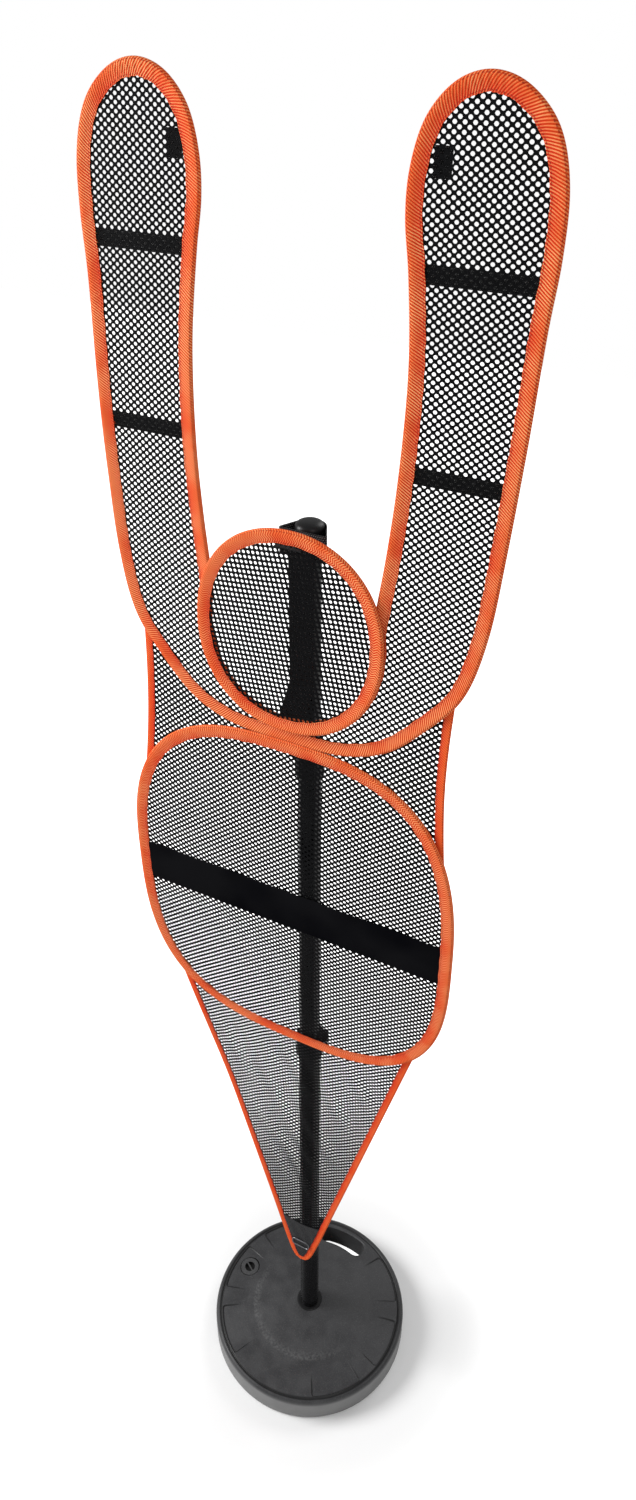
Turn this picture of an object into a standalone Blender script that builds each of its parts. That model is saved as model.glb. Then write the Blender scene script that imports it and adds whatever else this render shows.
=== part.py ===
# Basketball defensive mannequin: a pop-up mesh figure on a telescopic pole in a weighted round base.
# Metres, +Z up. The origin is the centre of the base's underside, on the pole's axis, and the figure
# faces -Y with its arms raised. Its tail is strapped to the pole just above the base.
import math

import bmesh
import bpy
from mathutils import Matrix, Vector

# Base: a hollow blow-moulded disc with a domed top
BASE_RADIUS = 0.2030
BASE_RIM_HEIGHT = 0.0587
DOME_RISE = 0.0198
DOME_RADIUS = 0.1350
DOME_FOOT_RISE = 0.0043
DOME_POWER = 1.3
BASE_WALL = 0.0030
RIM_ROUND = 0.0090
FOOT_ROUND = 0.0050
SOCKET_FLOOR = 0.0120
COLLAR_WIDTH = 0.0070
COLLAR_DEPTH = 0.0100
COLLAR_RISE = 0.0016

# Curved hand slot through the base, behind the pole
SLOT_RADIUS = 0.1632
SLOT_WIDTH = 0.0372
SLOT_HALF_ANGLE = math.radians(12.5)

# Sector recesses round the top of the base, at six of eight places
SECTOR_PLACES = (0, 45, 135, 180, 225, 315)
SECTOR_INNER = 0.1380
SECTOR_OUTER = 0.1885
SECTOR_HALF_ANGLE = math.radians(16)
SECTOR_DEPTH = 0.0028
SECTOR_CORNER = 0.0050

# Screwed filler plug, its seal, and the sand behind it
PLUG_RADIUS = 0.1563
PLUG_ANGLE = math.radians(176.3)
PLUG_SINK = 0.0011
PLUG_FLANGE_RADIUS = 0.0200
PLUG_FLANGE_THICKNESS = 0.0032
PLUG_STEM_RADIUS = 0.0130
PLUG_STEM_LENGTH = 0.0100
PLUG_WELL_RADIUS = 0.0110
PLUG_WELL_DEPTH = 0.0070
PLUG_RIB_WIDTH = 0.0028
PLUG_RIB_ANGLE = math.radians(-31)
PLUG_MARGIN = 0.0013
NECK_WALL = 0.0035
SEAL_THICKNESS = 0.0022
SAND_HEADROOM = 0.0030

# Pole: three telescopic steel tubes
LOWER_TUBE_RADIUS = 0.01905
TUBE_WALL = 0.0012
SLIDE_GAP = 0.0004
LOWER_TUBE_LENGTH = 0.9060
MIDDLE_TUBE_LENGTH = 0.9140
UPPER_TUBE_LENGTH = 0.6595
MIDDLE_OVERLAP = 0.2980
UPPER_OVERLAP = 0.3000
BUSH_LENGTH = 0.0300
BUSH_LIP = 0.0040
BUSH_WALL = 0.0025
CAP_RADIUS = 0.0195
CAP_RIM = 0.0030
CAP_DOME = 0.0105
CAP_STEM = 0.0220

# Split clamps at the tube joints, each with a cam lever
CLAMP_WALL = 0.0042
CLAMP_GRIP_LOW = 0.0260
CLAMP_GRIP_HIGH = 0.0200
CLAMP_CHAMFER = 0.0015
CLAMP_SPLIT = 0.0024
EAR_REACH = 0.0085
EAR_HALF_WIDTH = 0.0060
EAR_MARGIN = 0.0015
EAR_ROUND = 0.0010
BOLT_RADIUS = 0.0022
BOLT_TAIL = 0.0012
NUT_RADIUS = 0.0042
NUT_LENGTH = 0.0032
BOLT_OFFSET = 0.0030
EYE_RADIUS = 0.0036
EYE_HALF_HEIGHT = 0.0030
PIN_RADIUS = 0.0014
CAM_RADIUS = 0.0050
CAM_CLEARANCE = 0.0005
LEVER_HEIGHT = 0.0150
LEVER_THICKNESS = 0.0032
LEVER_STANDOFF = 0.0008
LEVER_START = math.radians(26)
LEVER_END = math.radians(118)
LOWER_CLAMP_AZIMUTH = math.radians(20)
CHEST_CLAMP_AZIMUTH = math.radians(195)

# Figure: spring-steel hoops in folded bindings, and the mesh panels that they stretch
FIGURE_STANDOFF = 0.0400
BINDING_WIDTH = 0.0190
BINDING_THICKNESS = 0.0064
BINDING_FABRIC = 0.0008
BINDING_GAP = 0.0005
EDGE_WIDTH = 0.0120
HOOP_THICKNESS = 0.0012
HOOP_WIDTH = 0.0030
NET_THICKNESS = 0.0012
NET_TUCK = 0.0050
EDGE_TUCK = 0.0040
HEAD_DROP = 0.1218
HEAD_HALF_WIDTH = 0.1268
HEAD_HALF_HEIGHT = 0.1340
HEAD_SQUARENESS = 2.12
BELLY_HALF_WIDTH = 0.2572
BELLY_HALF_HEIGHT = 0.2985
BELLY_SQUARENESS = 2.9

# Bow of the stretched figure: how far it stands from its upright plane along Y, at heights from the floor
BOW = ((0.45, 0.0), (0.80, -0.0070), (1.02, -0.0235), (1.25, -0.0335), (1.45, -0.0375), (1.62, -0.0280),
       (1.80, -0.0135), (2.00, -0.0040), (2.20, 0.0115), (2.42, 0.0220))

# Raised arm from the shoulder's lowest point, as distances across and up
ARM_OUTER_RUN = ((0.0780, 0.0025), (0.1414, 0.0263), (0.1934, 0.0766), (0.2338, 0.1326), (0.2544, 0.2147),
                 (0.2642, 0.3226), (0.2714, 0.4416), (0.2761, 0.5607), (0.2812, 0.6342), (0.2794, 0.6950),
                 (0.2649, 0.7425), (0.2360, 0.7724))
ARM_TIP = (0.2030, 0.7830)
ARM_INNER_RUN = ((0.1711, 0.7735), (0.1458, 0.7452), (0.1335, 0.7032), (0.1321, 0.6583), (0.1394, 0.6067),
                 (0.1465, 0.5323), (0.1480, 0.4624), (0.1445, 0.3724), (0.1374, 0.2923), (0.1300, 0.2322))
CHIN_ANGLE = math.radians(14)
CHIN_POINTS = 10

# Waist and tail: the torso panel's own edges, from the arms' band down to the tail's tip
WAIST_TOP_RISE = 0.1168
WAIST_FOOT_ANGLE = math.radians(37.5)
WAIST_PULL = 0.0058
WAIST_POINTS = 8
TAIL_ANGLE = math.radians(-46.5)
TAIL_LENGTH = 0.7057
TAIL_TIP_RUN = ((0.0463, 0.1290), (0.0357, 0.0870), (0.0252, 0.0490), (0.0164, 0.0200), (0.0085, 0.0045))
TAIL_SPANS = 6

# Coarse diamond lattice of the mesh panels
BODY_PITCH = 0.0840
HEAD_PITCH = 0.0600
ARM_PITCH = 0.0600
NET_STRAND = 0.0080
NET_BORDER = 0.0030

# Webbing, belt and patches sewn to the figure
WEBBING_THICKNESS = 0.0014
SPINE_WIDTH = 0.0380
SPINE_BEND_RISE = 0.0565
SPINE_FOLD_DROP = 0.0070
SLEEVE_WIDTH = 0.0680
SLEEVE_HEIGHT = 0.0360
SLEEVE_RISE = 0.0065
SLEEVE_STANDOFF = 0.0205
WEBBING_SLACK = 0.0012
BELT_HEIGHT = 0.0740
BELT_DROP = 0.0010
ARM_STRAP_WIDTH = 0.0200
ARM_STRAP_RISES = {"lower": 0.3910, "upper": 0.6050}
ARM_STRAP_TUCK = 0.0030
TIP_PATCH_WIDTH = 0.0190
TIP_PATCH_HEIGHT = 0.0300
TIP_PATCH_PLACE = (0.1580, 0.7105)
TAIL_PATCH_HEIGHT = 0.1280
TAIL_PATCH_SAG = 0.0080
TAIL_STRAP_RISE = 0.0540
TAIL_STRAP_HEIGHT = 0.0200
TAIL_STRAP_WIDTH = 0.0430
TAIL_RING_WIDTH = 0.0360
TAIL_RING_HEIGHT = 0.0190
TAIL_RING_CORNER = 0.0060
TAIL_RING_WIRE = 0.0012

# Clearance between touching pieces, and the smoothness of round ones
FIT = 0.0003
ROUND_STEPS = 24
SMALL_STEPS = 12
BASE_STEPS = 40
HEAD_STEPS = 28
BELLY_STEPS = 36
ARM_STEPS = 2
SMOOTH_ANGLE = math.radians(35)
WELD = 0.00001
BEYOND = 0.05

# Sizes and levels that follow from the ones above
DOME_TOP = BASE_RIM_HEIGHT + DOME_RISE
BASE_FLAT = BASE_RADIUS - RIM_ROUND
TOP_WALL = BASE_WALL + SECTOR_DEPTH
POLE_BORE = LOWER_TUBE_RADIUS + FIT
COLLAR_RADIUS = POLE_BORE + COLLAR_WIDTH
SOCKET_OUTER = COLLAR_RADIUS + FIT + BASE_WALL
MIDDLE_TUBE_RADIUS = LOWER_TUBE_RADIUS - TUBE_WALL - SLIDE_GAP
UPPER_TUBE_RADIUS = MIDDLE_TUBE_RADIUS - TUBE_WALL - SLIDE_GAP
LOWER_TOP = SOCKET_FLOOR + FIT + LOWER_TUBE_LENGTH
MIDDLE_TOP = LOWER_TOP - MIDDLE_OVERLAP + MIDDLE_TUBE_LENGTH
POLE_TOP = MIDDLE_TOP - UPPER_OVERLAP + UPPER_TUBE_LENGTH
HEAD_Z = POLE_TOP - HEAD_DROP
SHOULDER_Z = HEAD_Z - HEAD_HALF_HEIGHT - BINDING_WIDTH - BINDING_GAP
BELLY_Z = SHOULDER_Z - BINDING_WIDTH - BINDING_GAP - BELLY_HALF_HEIGHT
TAIL_TIP_Z = BELLY_Z - BELLY_HALF_HEIGHT - TAIL_LENGTH
BODY_Y = -FIGURE_STANDOFF
HEAD_Y = BODY_Y - BINDING_THICKNESS - FIT
NET_Y = BODY_Y + BINDING_THICKNESS / 2 + FIT + NET_THICKNESS / 2
STRAP_Y = BODY_Y + BINDING_THICKNESS / 2 + FIT + WEBBING_THICKNESS / 2
SPINE_Y = NET_Y + NET_THICKNESS / 2 + FIT + WEBBING_THICKNESS / 2
SLEEVE_TOP = POLE_TOP + SLEEVE_RISE
EDGE_SHOULDER = NET_THICKNESS / 2 + FIT + BINDING_FABRIC
HOOP_OFFSET = BINDING_WIDTH / 2 - BINDING_FABRIC - 2 * FIT - HOOP_THICKNESS / 2
CLEAR_OF_BAND = BINDING_WIDTH / 2 + FIT

# Helpers: materials, solids and flat pieces
for old in list(bpy.data.objects):
    bpy.data.objects.remove(old, do_unlink=True)
parts = bpy.data.collections.new("defensive_mannequin")
cutters = bpy.data.collections.new("cutters")
bpy.context.scene.collection.children.link(parts)
bpy.context.scene.collection.children.link(cutters)


def finish(label, colour, roughness, metallic=0.0):
    """A finish; called with a piece's name it makes that piece's own material."""
    def make(piece):
        made = bpy.data.materials.new(piece + "_" + label)
        made.use_nodes = True
        shader = made.node_tree.nodes["Principled BSDF"]
        shader.inputs["Base Color"].default_value = (*colour, 1.0)
        shader.inputs["Roughness"].default_value = roughness
        shader.inputs["Metallic"].default_value = metallic
        return made
    return make


orange_twill = finish("orange_twill", (1.0, 0.13, 0.02), 0.55)
black_mesh = finish("black_mesh", (0.012, 0.012, 0.013), 0.7)
black_webbing = finish("black_webbing", (0.01, 0.01, 0.011), 0.75)
charcoal_plastic = finish("charcoal_plastic", (0.06, 0.06, 0.062), 0.55)
black_plastic = finish("black_plastic", (0.012, 0.012, 0.013), 0.4)
black_paint = finish("black_paint", (0.008, 0.008, 0.009), 0.2, 0.3)
bright_steel = finish("bright_steel", (0.5, 0.5, 0.52), 0.3, 1.0)
black_rubber = finish("black_rubber", (0.02, 0.02, 0.02), 0.85)
sand_fill = finish("sand", (0.55, 0.43, 0.28), 0.95)


def move_to(collection, obj):
    for owner in list(obj.users_collection):
        owner.objects.unlink(obj)
    collection.objects.link(obj)
    return obj


def as_part(obj, look):
    obj.data.materials.clear()
    obj.data.materials.append(look(obj.name))
    return move_to(parts, obj)


def as_cutter(obj):
    obj.hide_render = True
    obj.display_type = "WIRE"
    return move_to(cutters, obj)


def mesh_object(name, build, smooth=True):
    """An object whose mesh is filled by build(bm)."""
    bm = bmesh.new()
    build(bm)
    data = bpy.data.meshes.new(name)
    bm.to_mesh(data)
    bm.free()
    if smooth:
        data.shade_smooth()
        data.set_sharp_from_angle(angle=SMOOTH_ANGLE)
    obj = bpy.data.objects.new(name, data)
    cutters.objects.link(obj)
    return obj


def turned(name, profile, steps=ROUND_STEPS, closed=False):
    """A profile of (radius, height) points turned round Z; closed makes a ring."""
    def build(bm):
        points = [bm.verts.new((radius, 0, height)) for radius, height in profile]
        for start, end in zip(points, points[1:]):
            bm.edges.new((start, end))
        if closed:
            bm.edges.new((points[-1], points[0]))
    obj = mesh_object(name, build, smooth=False)
    screw = obj.modifiers.new("turn", "SCREW")
    screw.steps = steps
    screw.render_steps = steps
    screw.use_merge_vertices = True
    screw.merge_threshold = WELD
    return obj


def boolean(obj, cutter, operation="DIFFERENCE"):
    modifier = obj.modifiers.new(operation.lower(), "BOOLEAN")
    modifier.operation = operation
    modifier.solver = "EXACT"
    modifier.object = as_cutter(cutter)


def cylinder(name, radius, low, high, centre=(0, 0), steps=ROUND_STEPS):
    def build(bm):
        bmesh.ops.create_cone(bm, cap_ends=True, segments=steps, radius1=radius, radius2=radius,
                              depth=high - low,
                              matrix=Matrix.Translation((centre[0], centre[1], (low + high) / 2)))
    return mesh_object(name, build)


def cross_rod(name, radius, x, z, y_start, y_end, steps=SMALL_STEPS):
    """A bar along Y."""
    def build(bm):
        bmesh.ops.create_cone(bm, cap_ends=True, segments=steps, radius1=radius, radius2=radius,
                              depth=abs(y_end - y_start),
                              matrix=Matrix.Translation((x, (y_start + y_end) / 2, z))
                              @ Matrix.Rotation(math.pi / 2, 4, "X"))
    return mesh_object(name, build)


def box(name, low, high):
    def build(bm):
        size = [b - a for a, b in zip(low, high)]
        middle = [(a + b) / 2 for a, b in zip(low, high)]
        bmesh.ops.create_cube(bm, size=1, matrix=Matrix.Translation(middle) @ Matrix.Diagonal((*size, 1)))
    return mesh_object(name, build, smooth=False)


def curve_object(name, loops, cyclic=True):
    """A flat curve with one straight-sided spline for each loop."""
    curve = bpy.data.curves.new(name, "CURVE")
    curve.dimensions = "2D"
    curve.fill_mode = "NONE"
    for loop in loops:
        spline = curve.splines.new("POLY")
        spline.points.add(len(loop) - 1)
        for point, (across, along) in zip(spline.points, loop):
            point.co = (across, along, 0, 1)
        spline.use_cyclic_u = cyclic
    obj = bpy.data.objects.new(name, curve)
    cutters.objects.link(obj)
    return obj


def curve_to_mesh(obj):
    bpy.context.view_layer.update()
    data = bpy.data.meshes.new_from_object(obj.evaluated_get(bpy.context.evaluated_depsgraph_get()))
    bm = bmesh.new()
    bm.from_mesh(data)
    bmesh.ops.remove_doubles(bm, verts=bm.verts, dist=WELD)
    bmesh.ops.recalc_face_normals(bm, faces=bm.faces)
    bm.to_mesh(data)
    bm.free()
    name, place = obj.name, obj.matrix_world.copy()
    bpy.data.objects.remove(obj, do_unlink=True)
    solid = bpy.data.objects.new(name, data)
    solid.matrix_world = place
    cutters.objects.link(solid)
    return solid


def flat_piece(name, loops, thickness, place, turn=(0, 0, 0)):
    """A flat outline with a thickness; a second loop is a hole."""
    obj = curve_object(name, loops)
    obj.data.fill_mode = "BOTH"
    obj.data.extrude = thickness / 2
    obj.rotation_euler = turn
    obj.location = place
    return curve_to_mesh(obj)


def upright(name, outline, thickness, y):
    """A flat piece parallel to the figure, its outline given as (x, z)."""
    return flat_piece(name, [outline], thickness, (0, y, 0), (math.pi / 2, 0, 0))


def level(name, loops, low, high):
    """A flat piece parallel to the floor, its outline given as (x, y)."""
    return flat_piece(name, loops, high - low, (0, 0, (low + high) / 2))


def band(name, path, section, y, closed=True):
    """A section of (across, depth) points carried along a path of (x, z) points.

    Across counts to the left of the path's direction, which is a closed panel's inner side. An open
    curve takes its section the other way round than a closed one does.
    """
    side = 1 if closed else -1
    profile = as_cutter(curve_object(name + "_section", [[(side * across, depth) for across, depth in section]]))
    obj = curve_object(name, [path], cyclic=closed)
    obj.data.bevel_mode = "OBJECT"
    obj.data.bevel_object = profile
    obj.data.use_fill_caps = not closed
    obj.rotation_euler = (math.pi / 2, 0, 0)
    obj.location = (0, y, 0)
    return curve_to_mesh(obj)


def joint_axis(name, place):
    empty = bpy.data.objects.new(name, None)
    empty.location = place
    parts.objects.link(empty)
    print(name, [round(value, 5) for value in empty.location])
    return empty


def bow_at(height):
    """The figure's distance from its upright plane at a height."""
    for (low, start), (high, end) in zip(BOW, BOW[1:]):
        if height < high:
            return start + (end - start) * max(0.0, height - low) / (high - low)
    return BOW[-1][1]


def bowed(obj, look):
    """A part whose finished shape is split at the bow's heights and set off between them."""
    bpy.context.view_layer.update()
    data = bpy.data.meshes.new_from_object(obj.evaluated_get(bpy.context.evaluated_depsgraph_get()))
    data.transform(obj.matrix_world)
    bm = bmesh.new()
    bm.from_mesh(data)
    for height, _ in BOW:
        bmesh.ops.bisect_plane(bm, geom=bm.verts[:] + bm.edges[:] + bm.faces[:], dist=WELD,
                               plane_co=(0, 0, height), plane_no=(0, 0, 1))
    for vert in bm.verts:
        vert.co.y += bow_at(vert.co.z)
    bm.to_mesh(data)
    bm.free()
    obj.modifiers.clear()
    obj.data = data
    obj.matrix_world = Matrix.Identity(4)
    return as_part(obj, look)


def hang_on(obj, empty):
    obj.parent = empty
    obj.matrix_parent_inverse = Matrix.Translation(-empty.location)


# Helpers: outlines and paths
def arc(radius, start, end, count, centre=(0, 0)):
    angles = [start + (end - start) * k / (count - 1) for k in range(count)]
    return [(centre[0] + radius * math.cos(a), centre[1] + radius * math.sin(a)) for a in angles]


def offset(path, distance, closed=True):
    """The path moved sideways, to the right of its direction: outwards on an anticlockwise loop."""
    moved = []
    last = len(path) - 1
    for k, (x, z) in enumerate(path):
        before = Vector(path[k - 1] if closed or k > 0 else path[k])
        after = Vector(path[(k + 1) % len(path)] if closed or k < last else path[k])
        here = Vector((x, z))
        ahead = (after - here).normalized()
        along = ((here - before).normalized() + ahead).normalized()
        reach = distance if ahead.length == 0 else distance / max(0.5, along.dot(ahead))
        moved.append((x + along.y * reach, z - along.x * reach))
    return moved


def smooth_path(points, steps):
    """Catmull-Rom curve through the points."""
    path = []
    last = len(points) - 1
    for k in range(last):
        a, b, c, d = (Vector(points[max(0, min(last, k + j))]) for j in (-1, 0, 1, 2))
        for t in (step / steps for step in range(steps)):
            path.append(tuple(0.5 * (2 * b + (c - a) * t + (2 * a - 5 * b + 4 * c - d) * t ** 2
                                     + (3 * b - a - 3 * c + d) * t ** 3)))
    return path + [tuple(points[-1])]


def mirrored(path):
    return [(-x, z) for x, z in reversed(path)]


def contains(outline, place):
    """Whether a closed outline goes round a point."""
    x, z = place
    inside = False
    for (ax, az), (bx, bz) in zip(outline, outline[1:] + outline[:1]):
        if (az > z) != (bz > z) and x < ax + (bx - ax) * (z - az) / (bz - az):
            inside = not inside
    return inside


def crossings(outline, height):
    """Where a closed outline crosses a height, from left to right."""
    found = []
    for (ax, az), (bx, bz) in zip(outline, outline[1:] + outline[:1]):
        if (az > height) != (bz > height):
            found.append(ax + (bx - ax) * (height - az) / (bz - az))
    return sorted(found)


def rounded_square(half_width, half_height, squareness, centre_z, angle):
    """A superellipse's point in the direction of an angle, which counts from +X towards +Z."""
    c, s = math.cos(angle), math.sin(angle)
    reach = (abs(c / half_width) ** squareness + abs(s / half_height) ** squareness) ** (-1 / squareness)
    return (reach * c, centre_z + reach * s)


def head_point(angle):
    return rounded_square(HEAD_HALF_WIDTH, HEAD_HALF_HEIGHT, HEAD_SQUARENESS, HEAD_Z, angle)


def belly_point(angle):
    return rounded_square(BELLY_HALF_WIDTH, BELLY_HALF_HEIGHT, BELLY_SQUARENESS, BELLY_Z, angle)


def loop_of(point, steps):
    """Anticlockwise loop seen from the front, starting at the bottom."""
    return [point(-math.pi / 2 + 2 * math.pi * k / steps) for k in range(steps)]


def strap_loop(name, front_y, width, tube_radius, low, high):
    """A strap that runs flat across the front and in straight lines round the back of a tube."""
    def outline(grow):
        x, y = width / 2 + grow, front_y - grow
        radius = tube_radius + WEBBING_SLACK + grow
        touch = math.atan2(y, x) + math.acos(radius / math.hypot(x, y))
        return [(-x, y), (x, y)] + arc(radius, touch, math.pi - touch, SMALL_STEPS)
    return as_part(level(name, [outline(WEBBING_THICKNESS), outline(0)], low, high), black_webbing)


# Base shell: outside, cavity, slot, recesses, filler neck and pole socket
def base_top(radius):
    """Height of the base's top: a dome round the pole, then a nearly flat margin."""
    if radius < DOME_RADIUS:
        share = max(0.0, (radius - COLLAR_RADIUS) / (DOME_RADIUS - COLLAR_RADIUS))
        return BASE_RIM_HEIGHT + DOME_RISE - (DOME_RISE - DOME_FOOT_RISE) * share ** DOME_POWER
    return BASE_RIM_HEIGHT + DOME_FOOT_RISE * max(0.0, (BASE_FLAT - radius) / (BASE_FLAT - DOME_RADIUS))


def disc_profile(inner_radius, drop, wall, low):
    """Half section of the disc, its top lowered by drop and its side drawn in by wall."""
    middle = [inner_radius] + [COLLAR_RADIUS + (DOME_RADIUS - COLLAR_RADIUS) * k / 4 for k in range(1, 5)]
    top = [(radius, base_top(radius) - drop) for radius in middle]
    rim = RIM_ROUND - wall
    rim_z = BASE_RIM_HEIGHT - drop - rim
    edge = [(BASE_FLAT + rim * math.sin(a), rim_z + rim * math.cos(a))
            for a in (math.pi / 2 * k / 4 for k in range(5))]
    foot = [(BASE_RADIUS - wall, FOOT_ROUND), (BASE_RADIUS - FOOT_ROUND, low), (inner_radius, low)]
    return top + edge + foot


def slot_outline(grow):
    """Curved slot with round ends, from above."""
    half = SLOT_WIDTH / 2 + grow
    first, last = math.pi / 2 - SLOT_HALF_ANGLE, math.pi / 2 + SLOT_HALF_ANGLE
    near = arc(SLOT_RADIUS - half, last, first, 5)
    right = arc(half, first + math.pi, first + 2 * math.pi, 9,
                (SLOT_RADIUS * math.cos(first), SLOT_RADIUS * math.sin(first)))
    far = arc(SLOT_RADIUS + half, first, last, 5)
    left = arc(half, last, last + math.pi, 9, (SLOT_RADIUS * math.cos(last), SLOT_RADIUS * math.sin(last)))
    return near + right[1:-1] + far + left[1:-1]


def slot_solid(name, grow, low, high):
    return level(name, [slot_outline(grow)], low, high)


def sector_cutter(place):
    """Wedge that starts flush with the top at its inner edge and sinks towards the rim."""
    length = SECTOR_OUTER - SECTOR_INNER
    spread = SECTOR_HALF_ANGLE - SECTOR_CORNER / SECTOR_OUTER
    sides = ((SECTOR_OUTER - SECTOR_CORNER, SECTOR_HALF_ANGLE), (SECTOR_INNER, SECTOR_HALF_ANGLE),
             (SECTOR_INNER, -SECTOR_HALF_ANGLE), (SECTOR_OUTER - SECTOR_CORNER, -SECTOR_HALF_ANGLE))
    outline = arc(SECTOR_OUTER, -spread, spread, 6)
    outline += [(radius * math.cos(side), radius * math.sin(side)) for radius, side in sides]
    wedge = level("sector_cutter_%d" % place, [[(x - SECTOR_INNER, y) for x, y in outline]], 0, BEYOND)
    tilt = math.atan((SECTOR_DEPTH + base_top(SECTOR_INNER) - base_top(SECTOR_OUTER)) / length)
    wedge.matrix_world = (Matrix.Rotation(math.radians(place), 4, "Z")
                          @ Matrix.Translation((SECTOR_INNER, 0, base_top(SECTOR_INNER)))
                          @ Matrix.Rotation(tilt, 4, "Y") @ wedge.matrix_world)
    return wedge


plug_place = (PLUG_RADIUS * math.cos(PLUG_ANGLE), PLUG_RADIUS * math.sin(PLUG_ANGLE))
plug_top = base_top(PLUG_RADIUS) - PLUG_SINK
stem_top = plug_top - PLUG_FLANGE_THICKNESS
stem_foot = stem_top - PLUG_STEM_LENGTH
seat_z = stem_top - SEAL_THICKNESS - 2 * FIT
collar_seat_z = DOME_TOP - COLLAR_DEPTH
slot_wall_top = base_top(SLOT_RADIUS + SLOT_WIDTH / 2 + BASE_WALL) - BASE_WALL / 2


def base_shell():
    shell = turned("base_shell", disc_profile(0, 0, 0, 0), BASE_STEPS)
    boolean(shell, turned("base_cavity", disc_profile(SOCKET_OUTER, TOP_WALL, BASE_WALL, BASE_WALL),
                          BASE_STEPS, closed=True))
    boolean(shell, slot_solid("slot_walls", BASE_WALL, BASE_WALL / 2, slot_wall_top), "UNION")
    boolean(shell, cylinder("neck", PLUG_FLANGE_RADIUS + PLUG_MARGIN + NECK_WALL, seat_z - NECK_WALL,
                            stem_top, plug_place), "UNION")
    boolean(shell, slot_solid("slot_cutter", 0, -BEYOND, DOME_TOP + BEYOND))
    for place in SECTOR_PLACES:
        boolean(shell, sector_cutter(place))
    boolean(shell, cylinder("plug_seat", PLUG_FLANGE_RADIUS + PLUG_MARGIN, seat_z, DOME_TOP, plug_place))
    boolean(shell, cylinder("filler_hole", PLUG_STEM_RADIUS + FIT, stem_foot - FIT, DOME_TOP, plug_place))
    boolean(shell, cylinder("pole_socket", POLE_BORE, SOCKET_FLOOR, DOME_TOP + BEYOND))
    boolean(shell, cylinder("collar_seat", COLLAR_RADIUS + FIT, collar_seat_z, DOME_TOP + BEYOND))
    as_part(shell, charcoal_plastic)


def sand_ballast():
    level_z = stem_foot - SAND_HEADROOM
    side = BASE_RADIUS - BASE_WALL - FIT
    low = BASE_WALL + FIT
    profile = [(SOCKET_OUTER + FIT, level_z), (side, level_z), (side, FOOT_ROUND + 2 * FIT),
               (BASE_RADIUS - FOOT_ROUND - 2 * FIT, low), (SOCKET_OUTER + FIT, low)]
    sand = turned("sand_ballast", profile, BASE_STEPS, closed=True)
    boolean(sand, slot_solid("sand_slot", BASE_WALL + FIT, -BEYOND, DOME_TOP))
    as_part(sand, sand_fill)


def pole_collar():
    low, high = collar_seat_z + FIT, DOME_TOP + COLLAR_RISE
    profile = [(COLLAR_RADIUS - COLLAR_RISE, high), (COLLAR_RADIUS, high - COLLAR_RISE), (COLLAR_RADIUS, low),
               (POLE_BORE, low), (POLE_BORE, high)]
    as_part(turned("pole_collar", profile, closed=True), black_plastic)


def filler():
    """Screw plug with a rib across its well, and its flat seal."""
    edge = PLUG_FLANGE_THICKNESS / 4
    plug = turned("filler_plug", [(0, plug_top), (PLUG_FLANGE_RADIUS - edge, plug_top),
                                  (PLUG_FLANGE_RADIUS, plug_top - edge), (PLUG_FLANGE_RADIUS, stem_top),
                                  (PLUG_STEM_RADIUS, stem_top), (PLUG_STEM_RADIUS, stem_foot + edge),
                                  (PLUG_STEM_RADIUS - edge, stem_foot), (0, stem_foot)])
    well = cylinder("plug_well", PLUG_WELL_RADIUS, plug_top - PLUG_WELL_DEPTH, plug_top + BEYOND)
    rib = box("plug_rib", (-BEYOND, -PLUG_RIB_WIDTH / 2, 0), (BEYOND, PLUG_RIB_WIDTH / 2, plug_top + 2 * BEYOND))
    rib.rotation_euler = (0, 0, PLUG_RIB_ANGLE)
    boolean(well, rib)
    boolean(plug, well)
    seal_inner, seal_outer = PLUG_STEM_RADIUS + FIT, PLUG_FLANGE_RADIUS - FIT
    seal_low, seal_high = seat_z + FIT, seat_z + FIT + SEAL_THICKNESS
    seal = turned("filler_seal", [(seal_inner, seal_high), (seal_outer, seal_high), (seal_outer, seal_low),
                                  (seal_inner, seal_low)], closed=True)
    for piece in (plug, well, rib, seal):
        piece.location = (*plug_place, 0)
    as_part(seal, black_rubber)
    hang_on(as_part(plug, black_plastic), joint_axis("filler_plug_axis", (*plug_place, plug_top)))


# Pole: tubes, the bushes at their inner ends, and the domed cap
def tube(name, radius, low, high):
    bore = radius - TUBE_WALL
    as_part(turned(name, [(radius, high), (radius, low), (bore, low), (bore, high)], closed=True), black_paint)


def end_bush(name, outer_tube, inner_tube, low):
    """Plastic plug in a tube's lower end, with a lip that runs in the outer tube."""
    lip, stem = outer_tube - TUBE_WALL - FIT, inner_tube - TUBE_WALL - FIT
    bore = stem - BUSH_WALL
    lip_low = low - FIT - BUSH_LIP
    profile = [(stem, low + BUSH_LENGTH), (stem, low - FIT), (lip, low - FIT), (lip, lip_low),
               (bore, lip_low), (bore, low + BUSH_LENGTH)]
    as_part(turned(name, profile, closed=True), black_plastic)


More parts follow.
